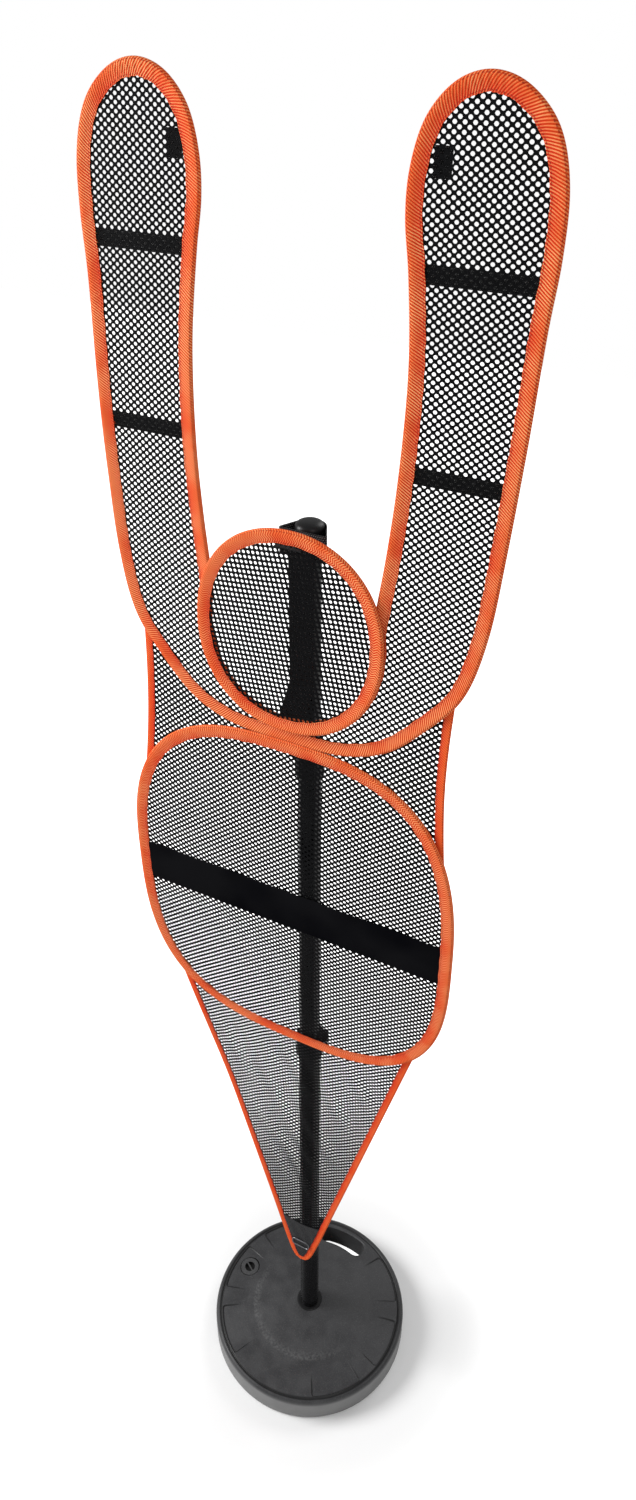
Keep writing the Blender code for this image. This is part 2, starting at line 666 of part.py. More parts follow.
def pole():
    middle_low = MIDDLE_TOP - MIDDLE_TUBE_LENGTH
    upper_low = POLE_TOP - UPPER_TUBE_LENGTH
    tube("lower_tube", LOWER_TUBE_RADIUS, SOCKET_FLOOR + FIT, LOWER_TOP)
    tube("middle_tube", MIDDLE_TUBE_RADIUS, middle_low, MIDDLE_TOP)
    tube("upper_tube", UPPER_TUBE_RADIUS, upper_low, POLE_TOP)
    end_bush("middle_tube_bush", LOWER_TUBE_RADIUS, MIDDLE_TUBE_RADIUS, middle_low)
    end_bush("upper_tube_bush", MIDDLE_TUBE_RADIUS, UPPER_TUBE_RADIUS, upper_low)
    stem = UPPER_TUBE_RADIUS - TUBE_WALL - FIT
    rim_low = POLE_TOP + FIT
    dome = [(CAP_RADIUS * math.sin(a), rim_low + CAP_RIM + CAP_DOME * math.cos(a))
            for a in (math.pi / 2 * k / 5 for k in range(6))]
    as_part(turned("pole_cap", dome + [(CAP_RADIUS, rim_low), (stem, rim_low), (stem, POLE_TOP - CAP_STEM),
                                       (0, POLE_TOP - CAP_STEM)]), black_plastic)


# Clamps: modelled with the ears along +X, then turned about the pole
def clamp(label, outer_tube, inner_tube, joint_z, azimuth, side):
    """Split collar on a tube joint. The lever runs round it, clockwise for side 1, else anticlockwise."""
    collar = outer_tube + FIT + CLAMP_WALL
    low, high, step = joint_z - CLAMP_GRIP_LOW, joint_z + CLAMP_GRIP_HIGH, joint_z + FIT
    bolt_x = collar + BOLT_OFFSET
    bolt_z = (step + high) / 2
    cam_y = -side * (EAR_HALF_WIDTH + CAM_CLEARANCE + CAM_RADIUS)
    nut_start = side * (EAR_HALF_WIDTH + FIT)
    nut_end = nut_start + side * NUT_LENGTH

    body = turned(label + "_body", [(collar - CLAMP_CHAMFER, high), (collar, high - CLAMP_CHAMFER),
                                    (collar, low + CLAMP_CHAMFER), (collar - CLAMP_CHAMFER, low),
                                    (outer_tube + FIT, low), (outer_tube + FIT, step), (inner_tube + FIT, step),
                                    (inner_tube + FIT, high)], closed=True)
    ears = box(label + "_ears", (collar - CLAMP_WALL / 2, -EAR_HALF_WIDTH, step + EAR_MARGIN),
               (collar + EAR_REACH, EAR_HALF_WIDTH, high - EAR_MARGIN))
    rounding = ears.modifiers.new("round", "BEVEL")
    rounding.width = EAR_ROUND
    rounding.segments = 1
    split = box(label + "_split", (0, -CLAMP_SPLIT / 2, step + FIT),
                (collar + BEYOND, CLAMP_SPLIT / 2, high + BEYOND))
    hole = cross_rod(label + "_hole", BOLT_RADIUS + FIT, bolt_x, bolt_z, -BEYOND, BEYOND)
    boolean(body, ears, "UNION")
    boolean(body, split)
    boolean(body, hole)

    bolt = cross_rod(label + "_bolt", BOLT_RADIUS, bolt_x, bolt_z, cam_y, nut_end + side * BOLT_TAIL)
    eye = cylinder(label + "_eye", EYE_RADIUS, bolt_z - EYE_HALF_HEIGHT, bolt_z + EYE_HALF_HEIGHT,
                   (bolt_x, cam_y), SMALL_STEPS)
    eye_hole = cylinder(label + "_eye_hole", PIN_RADIUS + FIT, bolt_z - BEYOND, bolt_z + BEYOND,
                        (bolt_x, cam_y), SMALL_STEPS)
    boolean(bolt, eye, "UNION")
    boolean(bolt, eye_hole)
    nut = cross_rod(label + "_nut", NUT_RADIUS, bolt_x, bolt_z, nut_start, nut_end, 6)
    nut_hole = cross_rod(label + "_nut_hole", BOLT_RADIUS + FIT, bolt_x, bolt_z, -BEYOND, BEYOND)
    boolean(nut, nut_hole)

    lever_low, lever_high = bolt_z - LEVER_HEIGHT / 2, bolt_z + LEVER_HEIGHT / 2
    inner = collar + LEVER_STANDOFF
    start, end = -side * LEVER_START, -side * LEVER_END
    strip = arc(inner, start, end, SMALL_STEPS) + arc(inner + LEVER_THICKNESS, end, start, SMALL_STEPS)
    lever = level(label + "_lever", [strip], lever_low, lever_high)
    cam = cylinder(label + "_cam", CAM_RADIUS, lever_low, lever_high, (bolt_x, cam_y), 2 * SMALL_STEPS)
    fork = cylinder(label + "_fork", CAM_RADIUS + BOLT_RADIUS, bolt_z - EYE_HALF_HEIGHT - FIT,
                    bolt_z + EYE_HALF_HEIGHT + FIT, (bolt_x, cam_y), 2 * SMALL_STEPS)
    pin_hole = cylinder(label + "_pin_hole", PIN_RADIUS + FIT, lever_low - BEYOND, lever_high + BEYOND,
                        (bolt_x, cam_y), SMALL_STEPS)
    boolean(lever, cam, "UNION")
    boolean(lever, fork)
    boolean(lever, pin_hole)
    pin = cylinder(label + "_pin", PIN_RADIUS, lever_low - FIT, lever_high + FIT, (bolt_x, cam_y), SMALL_STEPS)

    turn = Matrix.Rotation(azimuth, 4, "Z")
    for piece in (body, ears, split, hole, bolt, eye, eye_hole, nut, nut_hole, lever, cam, fork, pin_hole, pin):
        bpy.context.view_layer.update()
        piece.matrix_world = turn @ piece.matrix_world
    as_part(body, black_plastic)
    as_part(bolt, bright_steel)
    as_part(nut, bright_steel)
    as_part(pin, bright_steel)
    hang_on(as_part(lever, black_plastic), joint_axis(label + "_lever_axis", turn @ Vector((bolt_x, cam_y, bolt_z))))


# Figure: the bands, each a steel hoop in a folded binding
def binding_section(width, shoulder, fold_room):
    """Tape folded over a panel's edge: a U that opens to the left of its path."""
    fold, mouth = -width / 2, width / 2
    mouth_room = NET_THICKNESS / 2 + FIT
    bulge = max(0.0, shoulder - fold_room - BINDING_FABRIC)
    upper = [(fold, fold_room), (fold + BINDING_FABRIC + bulge, shoulder), (mouth, mouth_room + BINDING_FABRIC),
             (mouth, mouth_room), (fold + BINDING_FABRIC, fold_room)]
    return upper + [(across, -depth) for across, depth in reversed(upper)]


def arm_loop():
    """Anticlockwise loop of both arms: shoulder, right arm, round the head's chin, left arm."""
    raised = [(x, SHOULDER_Z + z) for x, z in (*ARM_OUTER_RUN, ARM_TIP, *ARM_INNER_RUN)]
    chin = [head_point(CHIN_ANGLE - (CHIN_ANGLE + math.pi / 2) * k / (CHIN_POINTS - 1))
            for k in range(CHIN_POINTS)]
    half = smooth_path([(0, SHOULDER_Z)] + raised + [chin[0]], ARM_STEPS)[:-1] + chin
    return half + mirrored(half[1:-1])


def clear_of_bands(obj):
    """Cuts a piece back to the outer edges of the arms' and the belly's bands."""
    for label, path in (("arms", arm_path), ("belly", belly_path)):
        boolean(obj, upright(obj.name + "_" + label + "_clearance", offset(path, CLEAR_OF_BAND),
                             4 * BINDING_THICKNESS, NET_Y))


head_path = loop_of(head_point, HEAD_STEPS)
belly_path = loop_of(belly_point, BELLY_STEPS)
arm_path = arm_loop()


def bands():
    hoop_section = [(-HOOP_THICKNESS / 2, -HOOP_WIDTH / 2), (HOOP_THICKNESS / 2, -HOOP_WIDTH / 2),
                    (HOOP_THICKNESS / 2, HOOP_WIDTH / 2), (-HOOP_THICKNESS / 2, HOOP_WIDTH / 2)]
    wide = binding_section(BINDING_WIDTH, BINDING_THICKNESS / 2, HOOP_WIDTH / 2 + FIT)
    for label, path, y in (("head", head_path, HEAD_Y), ("arms", arm_path, BODY_Y), ("belly", belly_path, BODY_Y)):
        bowed(band(label + "_binding", path, wide, y), orange_twill)
        bowed(band(label + "_hoop", offset(path, HOOP_OFFSET), hoop_section, y), bright_steel)


# Torso edges, on the right side of the figure from the foot up
waist_foot = Vector(belly_point(WAIST_FOOT_ANGLE))
waist_top = Vector((max(crossings(arm_path, SHOULDER_Z + WAIST_TOP_RISE)), SHOULDER_Z + WAIST_TOP_RISE))
waist_path = []
for k in range(WAIST_POINTS + 1):
    share = k / WAIST_POINTS
    place = waist_foot.lerp(waist_top, share)
    waist_path.append((place.x - WAIST_PULL * math.sin(math.pi * share), place.y))
tail_top = Vector(belly_point(TAIL_ANGLE))
tail_tip_run = [(x, TAIL_TIP_Z + z) for x, z in TAIL_TIP_RUN]
tail_side = [tuple(Vector(tail_tip_run[0]).lerp(tail_top, k / TAIL_SPANS)) for k in range(1, TAIL_SPANS + 1)]
tail_half = [(0, TAIL_TIP_Z)] + tail_tip_run[::-1] + tail_side
tail_path = mirrored(tail_half[1:]) + tail_half


def torso_outline():
    """Anticlockwise outline of the torso panel, along the middle of its bindings."""
    turns = [belly_point(TAIL_ANGLE + (WAIST_FOOT_ANGLE - TAIL_ANGLE) * k / 10) for k in range(1, 10)]
    shoulder = [point for point in arm_path if 0 < point[0] and point[1] < SHOULDER_Z + WAIST_TOP_RISE]
    shoulder = [point for point in shoulder[::-1] if point[1] < HEAD_Z - HEAD_HALF_HEIGHT or point[0] > HEAD_HALF_WIDTH]
    half = tail_half + turns + waist_path + shoulder
    return half + [(0, SHOULDER_Z)] + mirrored(half[1:])


def torso_edges():
    edge = binding_section(EDGE_WIDTH, EDGE_SHOULDER, NET_THICKNESS / 2 + FIT)
    for name, path in (("waist_binding_right", waist_path), ("waist_binding_left", mirrored(waist_path)),
                       ("tail_binding", tail_path)):
        piece = band(name, path, edge, NET_Y, closed=False)
        clear_of_bands(piece)
        bowed(piece, orange_twill)


# Mesh panels: a flat sheet with a lattice of diamond gaps
def net(name, outline, y, pitch, border):
    """Panel whose gaps keep a border's width inside its outline."""
    panel = upright(name, outline, NET_THICKNESS, y)
    half = pitch / 2 - NET_STRAND / math.sqrt(2)
    reach = half + border
    low_z, high_z = min(z for x, z in outline), max(z for x, z in outline)
    widest = max(x for x, z in outline)
    places = []
    for row in range(round((high_z - low_z) / pitch * 2)):
        z = low_z + row * pitch / 2
        for column in range(-round(widest / pitch) - 1, round(widest / pitch) + 2):
            x = (column + (row % 2) / 2) * pitch
            around = ((x + reach, z), (x - reach, z), (x, z + reach), (x, z - reach))
            if all(contains(outline, corner) for corner in around):
                places.append((x, z))

    def build(bm):
        for x, z in places:
            bmesh.ops.create_cone(bm, cap_ends=True, segments=4, radius1=half, radius2=half,
                                  depth=2 * NET_THICKNESS,
                                  matrix=Matrix.Translation((x, y, z)) @ Matrix.Rotation(math.pi / 2, 4, "X"))
    boolean(panel, mesh_object(name + "_gaps", build, smooth=False))
    print(name, "gaps", len(places))
    bowed(panel, black_mesh)


def nets():
    wide_border = NET_TUCK + BINDING_WIDTH / 2 + NET_BORDER
    net("head_net", offset(head_path, NET_TUCK), HEAD_Y, HEAD_PITCH, wide_border)
    net("arms_net", offset(arm_path, NET_TUCK), BODY_Y, ARM_PITCH, wide_border)
    net("body_net", offset(torso_outline(), EDGE_TUCK), NET_Y, BODY_PITCH,
        EDGE_TUCK + EDGE_WIDTH / 2 + NET_BORDER)


# Belt, webbing, patches and the ring at the tail
def rectangle(x_low, x_high, z_low, z_high):
    return [(x_low, z_low), (x_high, z_low), (x_high, z_high), (x_low, z_high)]


def belly_belt():
    """Plain band across the belly, its ends held in the belly's binding."""
    middle = BELLY_Z - BELT_DROP
    heights = [middle + BELT_HEIGHT * (k / 4 - 0.5) for k in range(5)]
    net_edge = offset(belly_path, NET_TUCK)
    right = [(max(crossings(net_edge, z)), z) for z in heights]
    bowed(upright("belly_belt", right + mirrored(right), NET_THICKNESS, BODY_Y), black_webbing)


def spine_strap():
    """Webbing from the shoulder up the pole, over the sleeve's front and forward to the head's binding."""
    half = WEBBING_THICKNESS / 2
    low, high = SHOULDER_Z - BINDING_WIDTH / 2, SHOULDER_Z + BINDING_WIDTH / 2
    fold_z = SLEEVE_TOP - SPINE_FOLD_DROP
    shoulder_y = SPINE_Y + bow_at(high)
    pole_y = -SLEEVE_STANDOFF - WEBBING_THICKNESS - FIT - half
    head_y = HEAD_Y + BINDING_THICKNESS / 2 + bow_at(fold_z) + 2 * FIT
    path = [(shoulder_y, low), (shoulder_y, high), (pole_y, SHOULDER_Z + SPINE_BEND_RISE), (pole_y, fold_z),
            (head_y, fold_z)]
    outline = offset(path, half, closed=False) + offset(path, -half, closed=False)[::-1]
    strap = flat_piece("spine_strap", [outline], SPINE_WIDTH, (0, 0, 0), (math.pi / 2, 0, math.pi / 2))
    as_part(strap, black_webbing)


def arm_straps():
    inner_edge = offset(arm_path, -ARM_STRAP_TUCK)
    for level_name, rise in ARM_STRAP_RISES.items():
        height = SHOULDER_Z + rise
        for side in (-1, 1):
            rows = []
            for z in (height - ARM_STRAP_WIDTH / 2, height + ARM_STRAP_WIDTH / 2):
                near, far = [x for x in crossings(inner_edge, z) if x > 0]
                rows.append((side * near, side * far, z))
            (a, b, low), (c, d, high) = rows
            name = "arm_strap_%s_%s" % (level_name, "right" if side > 0 else "left")
            bowed(upright(name, [(a, low), (b, low), (d, high), (c, high)], WEBBING_THICKNESS, STRAP_Y),
                  black_webbing)


def tip_patches():
    x, z = TIP_PATCH_PLACE
    z += SHOULDER_Z
    for side, name in ((-1, "tip_patch_left"), (1, "tip_patch_right")):
        outline = rectangle(side * x - TIP_PATCH_WIDTH / 2, side * x + TIP_PATCH_WIDTH / 2,
                            z - TIP_PATCH_HEIGHT / 2, z + TIP_PATCH_HEIGHT / 2)
        bowed(upright(name, outline, WEBBING_THICKNESS, STRAP_Y), black_webbing)


def tail_fittings():
    """Reinforcing patch in the tail's tip, a steel ring on it, and the strap that goes round the pole."""
    inside = offset(tail_path, -EDGE_WIDTH / 2 - 2 * FIT, closed=False)
    top = TAIL_TIP_Z + TAIL_PATCH_HEIGHT
    right = max(crossings(inside, top))
    sides = [point for point in inside if point[1] < top]
    edge = [(right * (1 - k / 3), top - TAIL_PATCH_SAG * math.sin(math.pi * k / 6)) for k in range(7)]
    patch_y = NET_Y - NET_THICKNESS / 2 - FIT - WEBBING_THICKNESS / 2
    as_part(upright("tail_patch", sides + edge, WEBBING_THICKNESS, patch_y), black_webbing)

    ring_z = TAIL_TIP_Z + TAIL_STRAP_RISE
    x, z = TAIL_RING_WIDTH / 2 - TAIL_RING_CORNER, TAIL_RING_HEIGHT / 2 - TAIL_RING_CORNER
    corners = ((x, z, 0), (-x, z, 1), (-x, -z, 2), (x, -z, 3))
    path = [point for cx, cz, quarter in corners
            for point in arc(TAIL_RING_CORNER, quarter * math.pi / 2, (quarter + 1) * math.pi / 2, 4, (cx, cz))]
    ring = curve_object("tail_ring", [path])
    ring.data.dimensions = "3D"
    ring.data.bevel_depth = TAIL_RING_WIRE
    ring.data.bevel_resolution = 1
    ring.rotation_euler = (math.pi / 2, 0, 0)
    ring.location = (0, patch_y - WEBBING_THICKNESS / 2 - FIT - TAIL_RING_WIRE, ring_z)
    as_part(curve_to_mesh(ring), bright_steel)

    strap_y = NET_Y + EDGE_SHOULDER + FIT + WEBBING_THICKNESS
    strap_loop("tail_strap", strap_y, TAIL_STRAP_WIDTH, LOWER_TUBE_RADIUS,
               ring_z - TAIL_STRAP_HEIGHT / 2, ring_z + TAIL_STRAP_HEIGHT / 2)


def head_sleeve():
    strap_loop("head_sleeve", -SLEEVE_STANDOFF, SLEEVE_WIDTH, CAP_RADIUS, SLEEVE_TOP - SLEEVE_HEIGHT, SLEEVE_TOP)


# Assembly
base_shell()
sand_ballast()
pole_collar()
filler()
pole()
clamp("lower_clamp", LOWER_TUBE_RADIUS, MIDDLE_TUBE_RADIUS, LOWER_TOP, LOWER_CLAMP_AZIMUTH, -1)
clamp("chest_clamp", MIDDLE_TUBE_RADIUS, UPPER_TUBE_RADIUS, MIDDLE_TOP, CHEST_CLAMP_AZIMUTH, 1)
bands()
torso_edges()
nets()
belly_belt()
spine_strap()
head_sleeve()
arm_straps()
tip_patches()
tail_fittings()
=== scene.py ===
import math

import bmesh
import bpy
import numpy as np
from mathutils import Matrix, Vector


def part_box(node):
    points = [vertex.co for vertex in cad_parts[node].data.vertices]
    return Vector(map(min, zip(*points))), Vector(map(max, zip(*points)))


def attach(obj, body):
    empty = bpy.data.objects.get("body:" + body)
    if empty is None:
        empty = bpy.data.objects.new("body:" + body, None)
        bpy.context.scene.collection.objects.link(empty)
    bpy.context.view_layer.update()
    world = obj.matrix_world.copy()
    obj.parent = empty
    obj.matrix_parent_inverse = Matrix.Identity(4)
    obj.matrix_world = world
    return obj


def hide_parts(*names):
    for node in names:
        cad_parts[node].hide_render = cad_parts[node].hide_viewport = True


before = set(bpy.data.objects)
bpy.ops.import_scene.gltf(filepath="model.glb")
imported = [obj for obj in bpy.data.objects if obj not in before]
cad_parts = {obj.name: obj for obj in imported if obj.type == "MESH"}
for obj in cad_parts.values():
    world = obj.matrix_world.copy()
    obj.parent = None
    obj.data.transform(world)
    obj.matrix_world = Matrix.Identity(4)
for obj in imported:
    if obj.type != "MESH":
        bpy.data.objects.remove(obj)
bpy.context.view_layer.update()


# Levels and sizes that the frame gives
def middleOf(node):
    low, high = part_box(node)
    return (low + high) / 2


def sizeOf(node):
    low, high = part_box(node)
    return high - low


# Waves are (period, drift, rate), as in uneven; bends are the line's turn in radians per metre
tape = {"width": 0.019, "edgeWidth": 0.012, "fabric": 0.0007, "halfThick": 0.0031, "mouth": 0.00125,
        "edgeHalfThick": 0.0017, "edgeMouth": 0.00115, "nose": 0.2, "points": 13, "crowding": 1.6,
        "step": 0.0026, "pucker": (0.0078, 2.1, 31), "puckerDepth": 0.00075, "puckerReach": 0.0005,
        "slackBend": 9, "tightBend": 18, "bendReach": 10, "swell": (0.041, 1.3, 17), "swellDepth": 0.00022,
        "wander": (0.027, 3, 9), "wanderReach": 0.00035}
headMid, bellyMid = middleOf("head_binding"), middleOf("belly_binding")
headHalf, bellyHalf = ([value / 2 - tape["width"] / 2 for value in sizeOf(node)]
                       for node in ("head_binding", "belly_binding"))
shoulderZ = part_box("arms_binding")[0].z + tape["width"] / 2
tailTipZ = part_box("tail_binding")[0].z + tape["edgeWidth"] / 2
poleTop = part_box("upper_tube")[1].z
bodyY, headY, netY, strapY = -0.0400, -0.0467, -0.0359, -0.0358
bow = {"heights": (0.45, 0.80, 1.02, 1.25, 1.45, 1.62, 1.80, 2.00, 2.20, 2.42), "ease": 0.05,
       "shifts": (0.0, -0.0070, -0.0235, -0.0335, -0.0375, -0.0280, -0.0135, -0.0040, 0.0115, 0.0220)}


# Mean of the bow's straight runs over a stretch of heights round z
def bowAt(z):
    return sum(np.interp(z + gap, bow["heights"], bow["shifts"])
               for gap in np.linspace(-bow["ease"], bow["ease"], 5)) / 5


# Moves a piece's points along Y by the bow at their heights
def bowed(obj):
    spots = np.empty(len(obj.data.vertices) * 3, np.float32)
    obj.data.vertices.foreach_get("co", spots)
    spots = spots.reshape(-1, 3)
    spots[:, 1] += bowAt(spots[:, 2])
    obj.data.vertices.foreach_set("co", spots.ravel())
    obj.data.update()
    return obj


# Lines: each is an array of (x, z) points, anticlockwise as seen from the front
def looped(path, closed=True):
    return np.vstack([path, path[:1]]) if closed else path


# Length from the start to each point: the running sum of the distances between neighbours
def runOf(path):
    return np.concatenate([[0], np.cumsum(np.linalg.norm(np.diff(path, axis=0), axis=1))])


def lengthOf(path, closed=True):
    return float(runOf(looped(path, closed))[-1])


# Catmull-Rom: every span is a cubic through its two points, with slopes taken from their neighbours
def smoothPath(points, steps):
    p = np.vstack([points[:1], points, points[-1:]])
    t = (np.arange(steps) / steps)[None, :, None]
    a, b, c, d = (p[k:len(p) - 3 + k, None] for k in range(4))
    square, cube = 2 * a - 5 * b + 4 * c - d, 3 * b - a - 3 * c + d
    spans = 0.5 * (2 * b + (c - a) * t + square * t ** 2 + cube * t ** 3)
    return np.vstack([spans.reshape(-1, 2), p[-1:]])


# The same line with points a step apart: x and z are read at even shares of its summed length
def evenPath(path, step, closed=True):
    line = looped(path, closed)
    along = runOf(line)
    at = np.linspace(0, along[-1], max(3, round(along[-1] / step)) + 1)
    even = np.stack([np.interp(at, along, line[:, k]) for k in (0, 1)], 1)
    return even[:-1] if closed else even


# Unit vectors along a line: at each point, the run from the point before it to the one after it
def aheadOf(path, closed):
    ahead = np.roll(path, -1, 0) - np.roll(path, 1, 0)
    if not closed:
        ahead[0], ahead[-1] = path[1] - path[0], path[-1] - path[-2]
    return ahead / np.linalg.norm(ahead, axis=1, keepdims=True)


# Superellipse: the reach in a direction is (|cos / a| ^ n + |sin / b| ^ n) ^ (-1 / n)
def roundedSquare(half, centre, squareness, angles):
    c, s = np.cos(angles), np.sin(angles)
    reach = (np.abs(c / half[0]) ** squareness + np.abs(s / half[2]) ** squareness) ** (-1 / squareness)
    return np.stack([centre.x + reach * c, centre.z + reach * s], 1)


# The same line with its sides swapped, still anticlockwise
def mirrored(path):
    return path[::-1] * (-1, 1)


# The arms' outline is its right half, from the shoulder's middle by the arm to the chin, and its mirror image
outline = {"headSquareness": 2.12, "bellySquareness": 2.9, "chin": math.radians(14), "waistRise": 0.1168,
           "waistFoot": math.radians(37.5), "waistPull": 0.0058, "tailAngle": math.radians(-46.5),
           "coarse": 0.006}
armRun = np.array([(0.0, 0.0), (0.0780, 0.0025), (0.1414, 0.0263), (0.1934, 0.0766), (0.2338, 0.1326),
                   (0.2544, 0.2147), (0.2642, 0.3226), (0.2714, 0.4416), (0.2761, 0.5607), (0.2812, 0.6342),
                   (0.2794, 0.6950), (0.2649, 0.7425), (0.2360, 0.7724), (0.2030, 0.7830), (0.1711, 0.7735),
                   (0.1458, 0.7452), (0.1335, 0.7032), (0.1321, 0.6583), (0.1394, 0.6067), (0.1465, 0.5323),
                   (0.1480, 0.4624), (0.1445, 0.3724), (0.1374, 0.2923), (0.1300, 0.2322)]) + (0, shoulderZ)


def headLine(angles):
    return roundedSquare(headHalf, headMid, outline["headSquareness"], angles)


def bellyLine(angles):
    return roundedSquare(bellyHalf, bellyMid, outline["bellySquareness"], angles)


chin = headLine(np.linspace(outline["chin"], -math.pi / 2, 40))
armHalf = np.vstack([smoothPath(np.vstack([armRun, chin[:1]]), 16)[:-1], chin])
armLine = evenPath(np.vstack([armHalf, mirrored(armHalf[1:-1])]), tape["step"])
fullTurn = np.linspace(-math.pi / 2, 1.5 * math.pi, 721)[:-1]
headRing, bellyRing = (evenPath(line(fullTurn), tape["step"]) for line in (headLine, bellyLine))

# Torso panel's own edges: the waist, pulled in by half a sine, and the tail
tailTip = np.array([(0.0, 0.0), (0.0085, 0.0045), (0.0164, 0.0200), (0.0252, 0.0490), (0.0357, 0.0870),
                    (0.0463, 0.1290)]) + (0, tailTipZ)
outerArm = armHalf[armHalf[:, 0] > headHalf[0]]
outerArm = outerArm[:np.argmax(outerArm[:, 1])]
waistTopZ = shoulderZ + outline["waistRise"]
waistTop = np.array([np.interp(waistTopZ, outerArm[:, 1], outerArm[:, 0]), waistTopZ])
waistFoot = bellyLine(np.array([outline["waistFoot"]]))[0]
waistShare = np.linspace(0, 1, 80)[:, None]
waistLine = waistFoot + (waistTop - waistFoot) * waistShare
waistLine[:, 0] -= outline["waistPull"] * np.sin(np.pi * waistShare[:, 0])
tailHalf = np.vstack([smoothPath(tailTip, 10), bellyLine(np.array([outline["tailAngle"]]))])
tailLine = np.vstack([mirrored(tailHalf[1:]), tailHalf])
sideAngles = np.linspace(outline["tailAngle"], outline["waistFoot"], 60)[1:-1]
yoke = armHalf[:np.argmax(armHalf[:, 1] > waistTopZ)]
torsoHalf = np.vstack([tailHalf, bellyLine(sideAngles), waistLine, yoke[::-1]])
torsoOutline = evenPath(np.vstack([torsoHalf, mirrored(torsoHalf[1:-1])]), outline["coarse"])
print("lines ready: arms %.2f m, belly %.2f m, head %.2f m"
      % tuple(map(lengthOf, (armLine, bellyRing, headRing))))


# Distance to the nearest stretch of a closed line, below 0 for points inside it: from those, a level ray
# crosses the line an odd number of times
def signedDistance(points, line):
    run = np.roll(line, -1, 0) - line

    def block(p):
        gap = p[:, None] - line[None]
        share = np.clip((gap * run).sum(2) / (run ** 2).sum(1), 0, 1)
        far = np.sqrt(((gap - share[..., None] * run) ** 2).sum(2)).min(1)
        over = (line[:, 1] > p[:, None, 1]) != ((line + run)[:, 1] > p[:, None, 1])
        slope = run[:, 0] / np.where(np.abs(run[:, 1]) < 1e-12, 1e-12, run[:, 1])
        crossed = over & (p[:, None, 0] < line[:, 0] + slope * (p[:, None, 1] - line[:, 1]))
        return np.where(crossed.sum(1) % 2 == 1, -far, far)
    return np.concatenate([block(p) for p in np.array_split(points, len(points) // 1500 + 1)])


# Meshes from arrays. Edges sharper than these angles, in degrees, stay sharp
sharp = {"cloth": 60, "knit": 80, "turned": 35, "base": 40}


def shade(data, angle):
    data.shade_smooth()
    data.set_sharp_from_angle(angle=math.radians(angle))


# A closed mesh from arrays. Its faces are turned round if its signed volume is negative
def meshPiece(name, points, quads, angle, triangles=(), uv=None):
    quads = np.asarray(quads, np.int64).reshape(-1, 4)
    triangles = np.asarray(triangles, np.int64).reshape(-1, 3)
    fans = np.vstack([quads[:, [0, 1, 2]], quads[:, [0, 2, 3]], triangles])
    a, b, c = (points[fans[:, k]] for k in range(3))
    if (a * np.cross(b, c)).sum() < 0:
        quads, triangles = quads[:, ::-1], triangles[:, ::-1]
        uv = None if uv is None else uv[:, ::-1]
    corners = np.concatenate([quads.ravel(), triangles.ravel()])
    sizes = np.concatenate([np.full(len(quads), 4), np.full(len(triangles), 3)])
    data = bpy.data.meshes.new(name)
    data.vertices.add(len(points))
    data.vertices.foreach_set("co", np.ascontiguousarray(points, np.float32).ravel())
    data.loops.add(len(corners))
    data.loops.foreach_set("vertex_index", corners.astype(np.int32))
    data.polygons.add(len(sizes))
    data.polygons.foreach_set("loop_start", np.concatenate([[0], np.cumsum(sizes)[:-1]]).astype(np.int32))
    data.polygons.foreach_set("loop_total", sizes.astype(np.int32))
    if uv is not None:
        data.uv_layers.new(name="cloth").data.foreach_set("uv", np.ascontiguousarray(uv, np.float32).ravel())
    data.update(calc_edges=True)
    data.validate()
    shade(data, angle)
    obj = bpy.data.objects.new(name, data)
    bpy.context.scene.collection.objects.link(obj)
    return obj


# A grid of points, closed round its second way, and round its first way or else with flat ends. The ends are
# closed by pairing the points of each end's ring across its middle
def gridPiece(name, grid, closed, uvAlong, uvAcross, angle):
    rows, around = grid.shape[:2]
    r = np.arange(rows if closed else rows - 1)[:, None]
    k = np.arange(around)[None]
    nextRow, nextK = (r + 1) % rows, (k + 1) % around
    quads = np.stack(np.broadcast_arrays(r * around + k, nextRow * around + k, nextRow * around + nextK,
                                         r * around + nextK), -1).reshape(-1, 4)
    u = np.stack(np.broadcast_arrays(uvAlong[r], uvAlong[r + 1], uvAlong[r + 1], uvAlong[r]), -1)
    v = np.stack(np.broadcast_arrays(uvAcross[k], uvAcross[k], uvAcross[k + 1], uvAcross[k + 1]), -1)
    quadUv = np.stack(np.broadcast_arrays(u, v), -1).reshape(-1, 4, 2)
    if not closed:
        pair = np.arange(around // 2 - 1)
        cap = np.stack([pair, pair + 1, around - 2 - pair, around - 1 - pair], 1)
        quads = np.vstack([quads, cap, cap[:, ::-1] + (rows - 1) * around])
        quadUv = np.concatenate([quadUv, np.zeros((2 * len(cap), 4, 2))])
    return meshPiece(name, grid.reshape(-1, 3), quads, angle, uv=quadUv)


# A section of (across, depth) points carried along a path: point = path + side * across + deep * depth
def sweep(name, path, side, deep, section, closed):
    section = np.broadcast_to(section, (len(path), *section.shape[-2:]))
    grid = path[:, None] + side[:, None] * section[..., :1] + deep[:, None] * section[..., 1:]
    return gridPiece(name, grid, closed, runOf(looped(path, closed)), runOf(looped(section[0])), sharp["cloth"])


# (x, z) points as (x, y, z) ones
def upright(path, y):
    return np.stack([path[:, 0], np.full(len(path), y), path[:, 1]], 1)


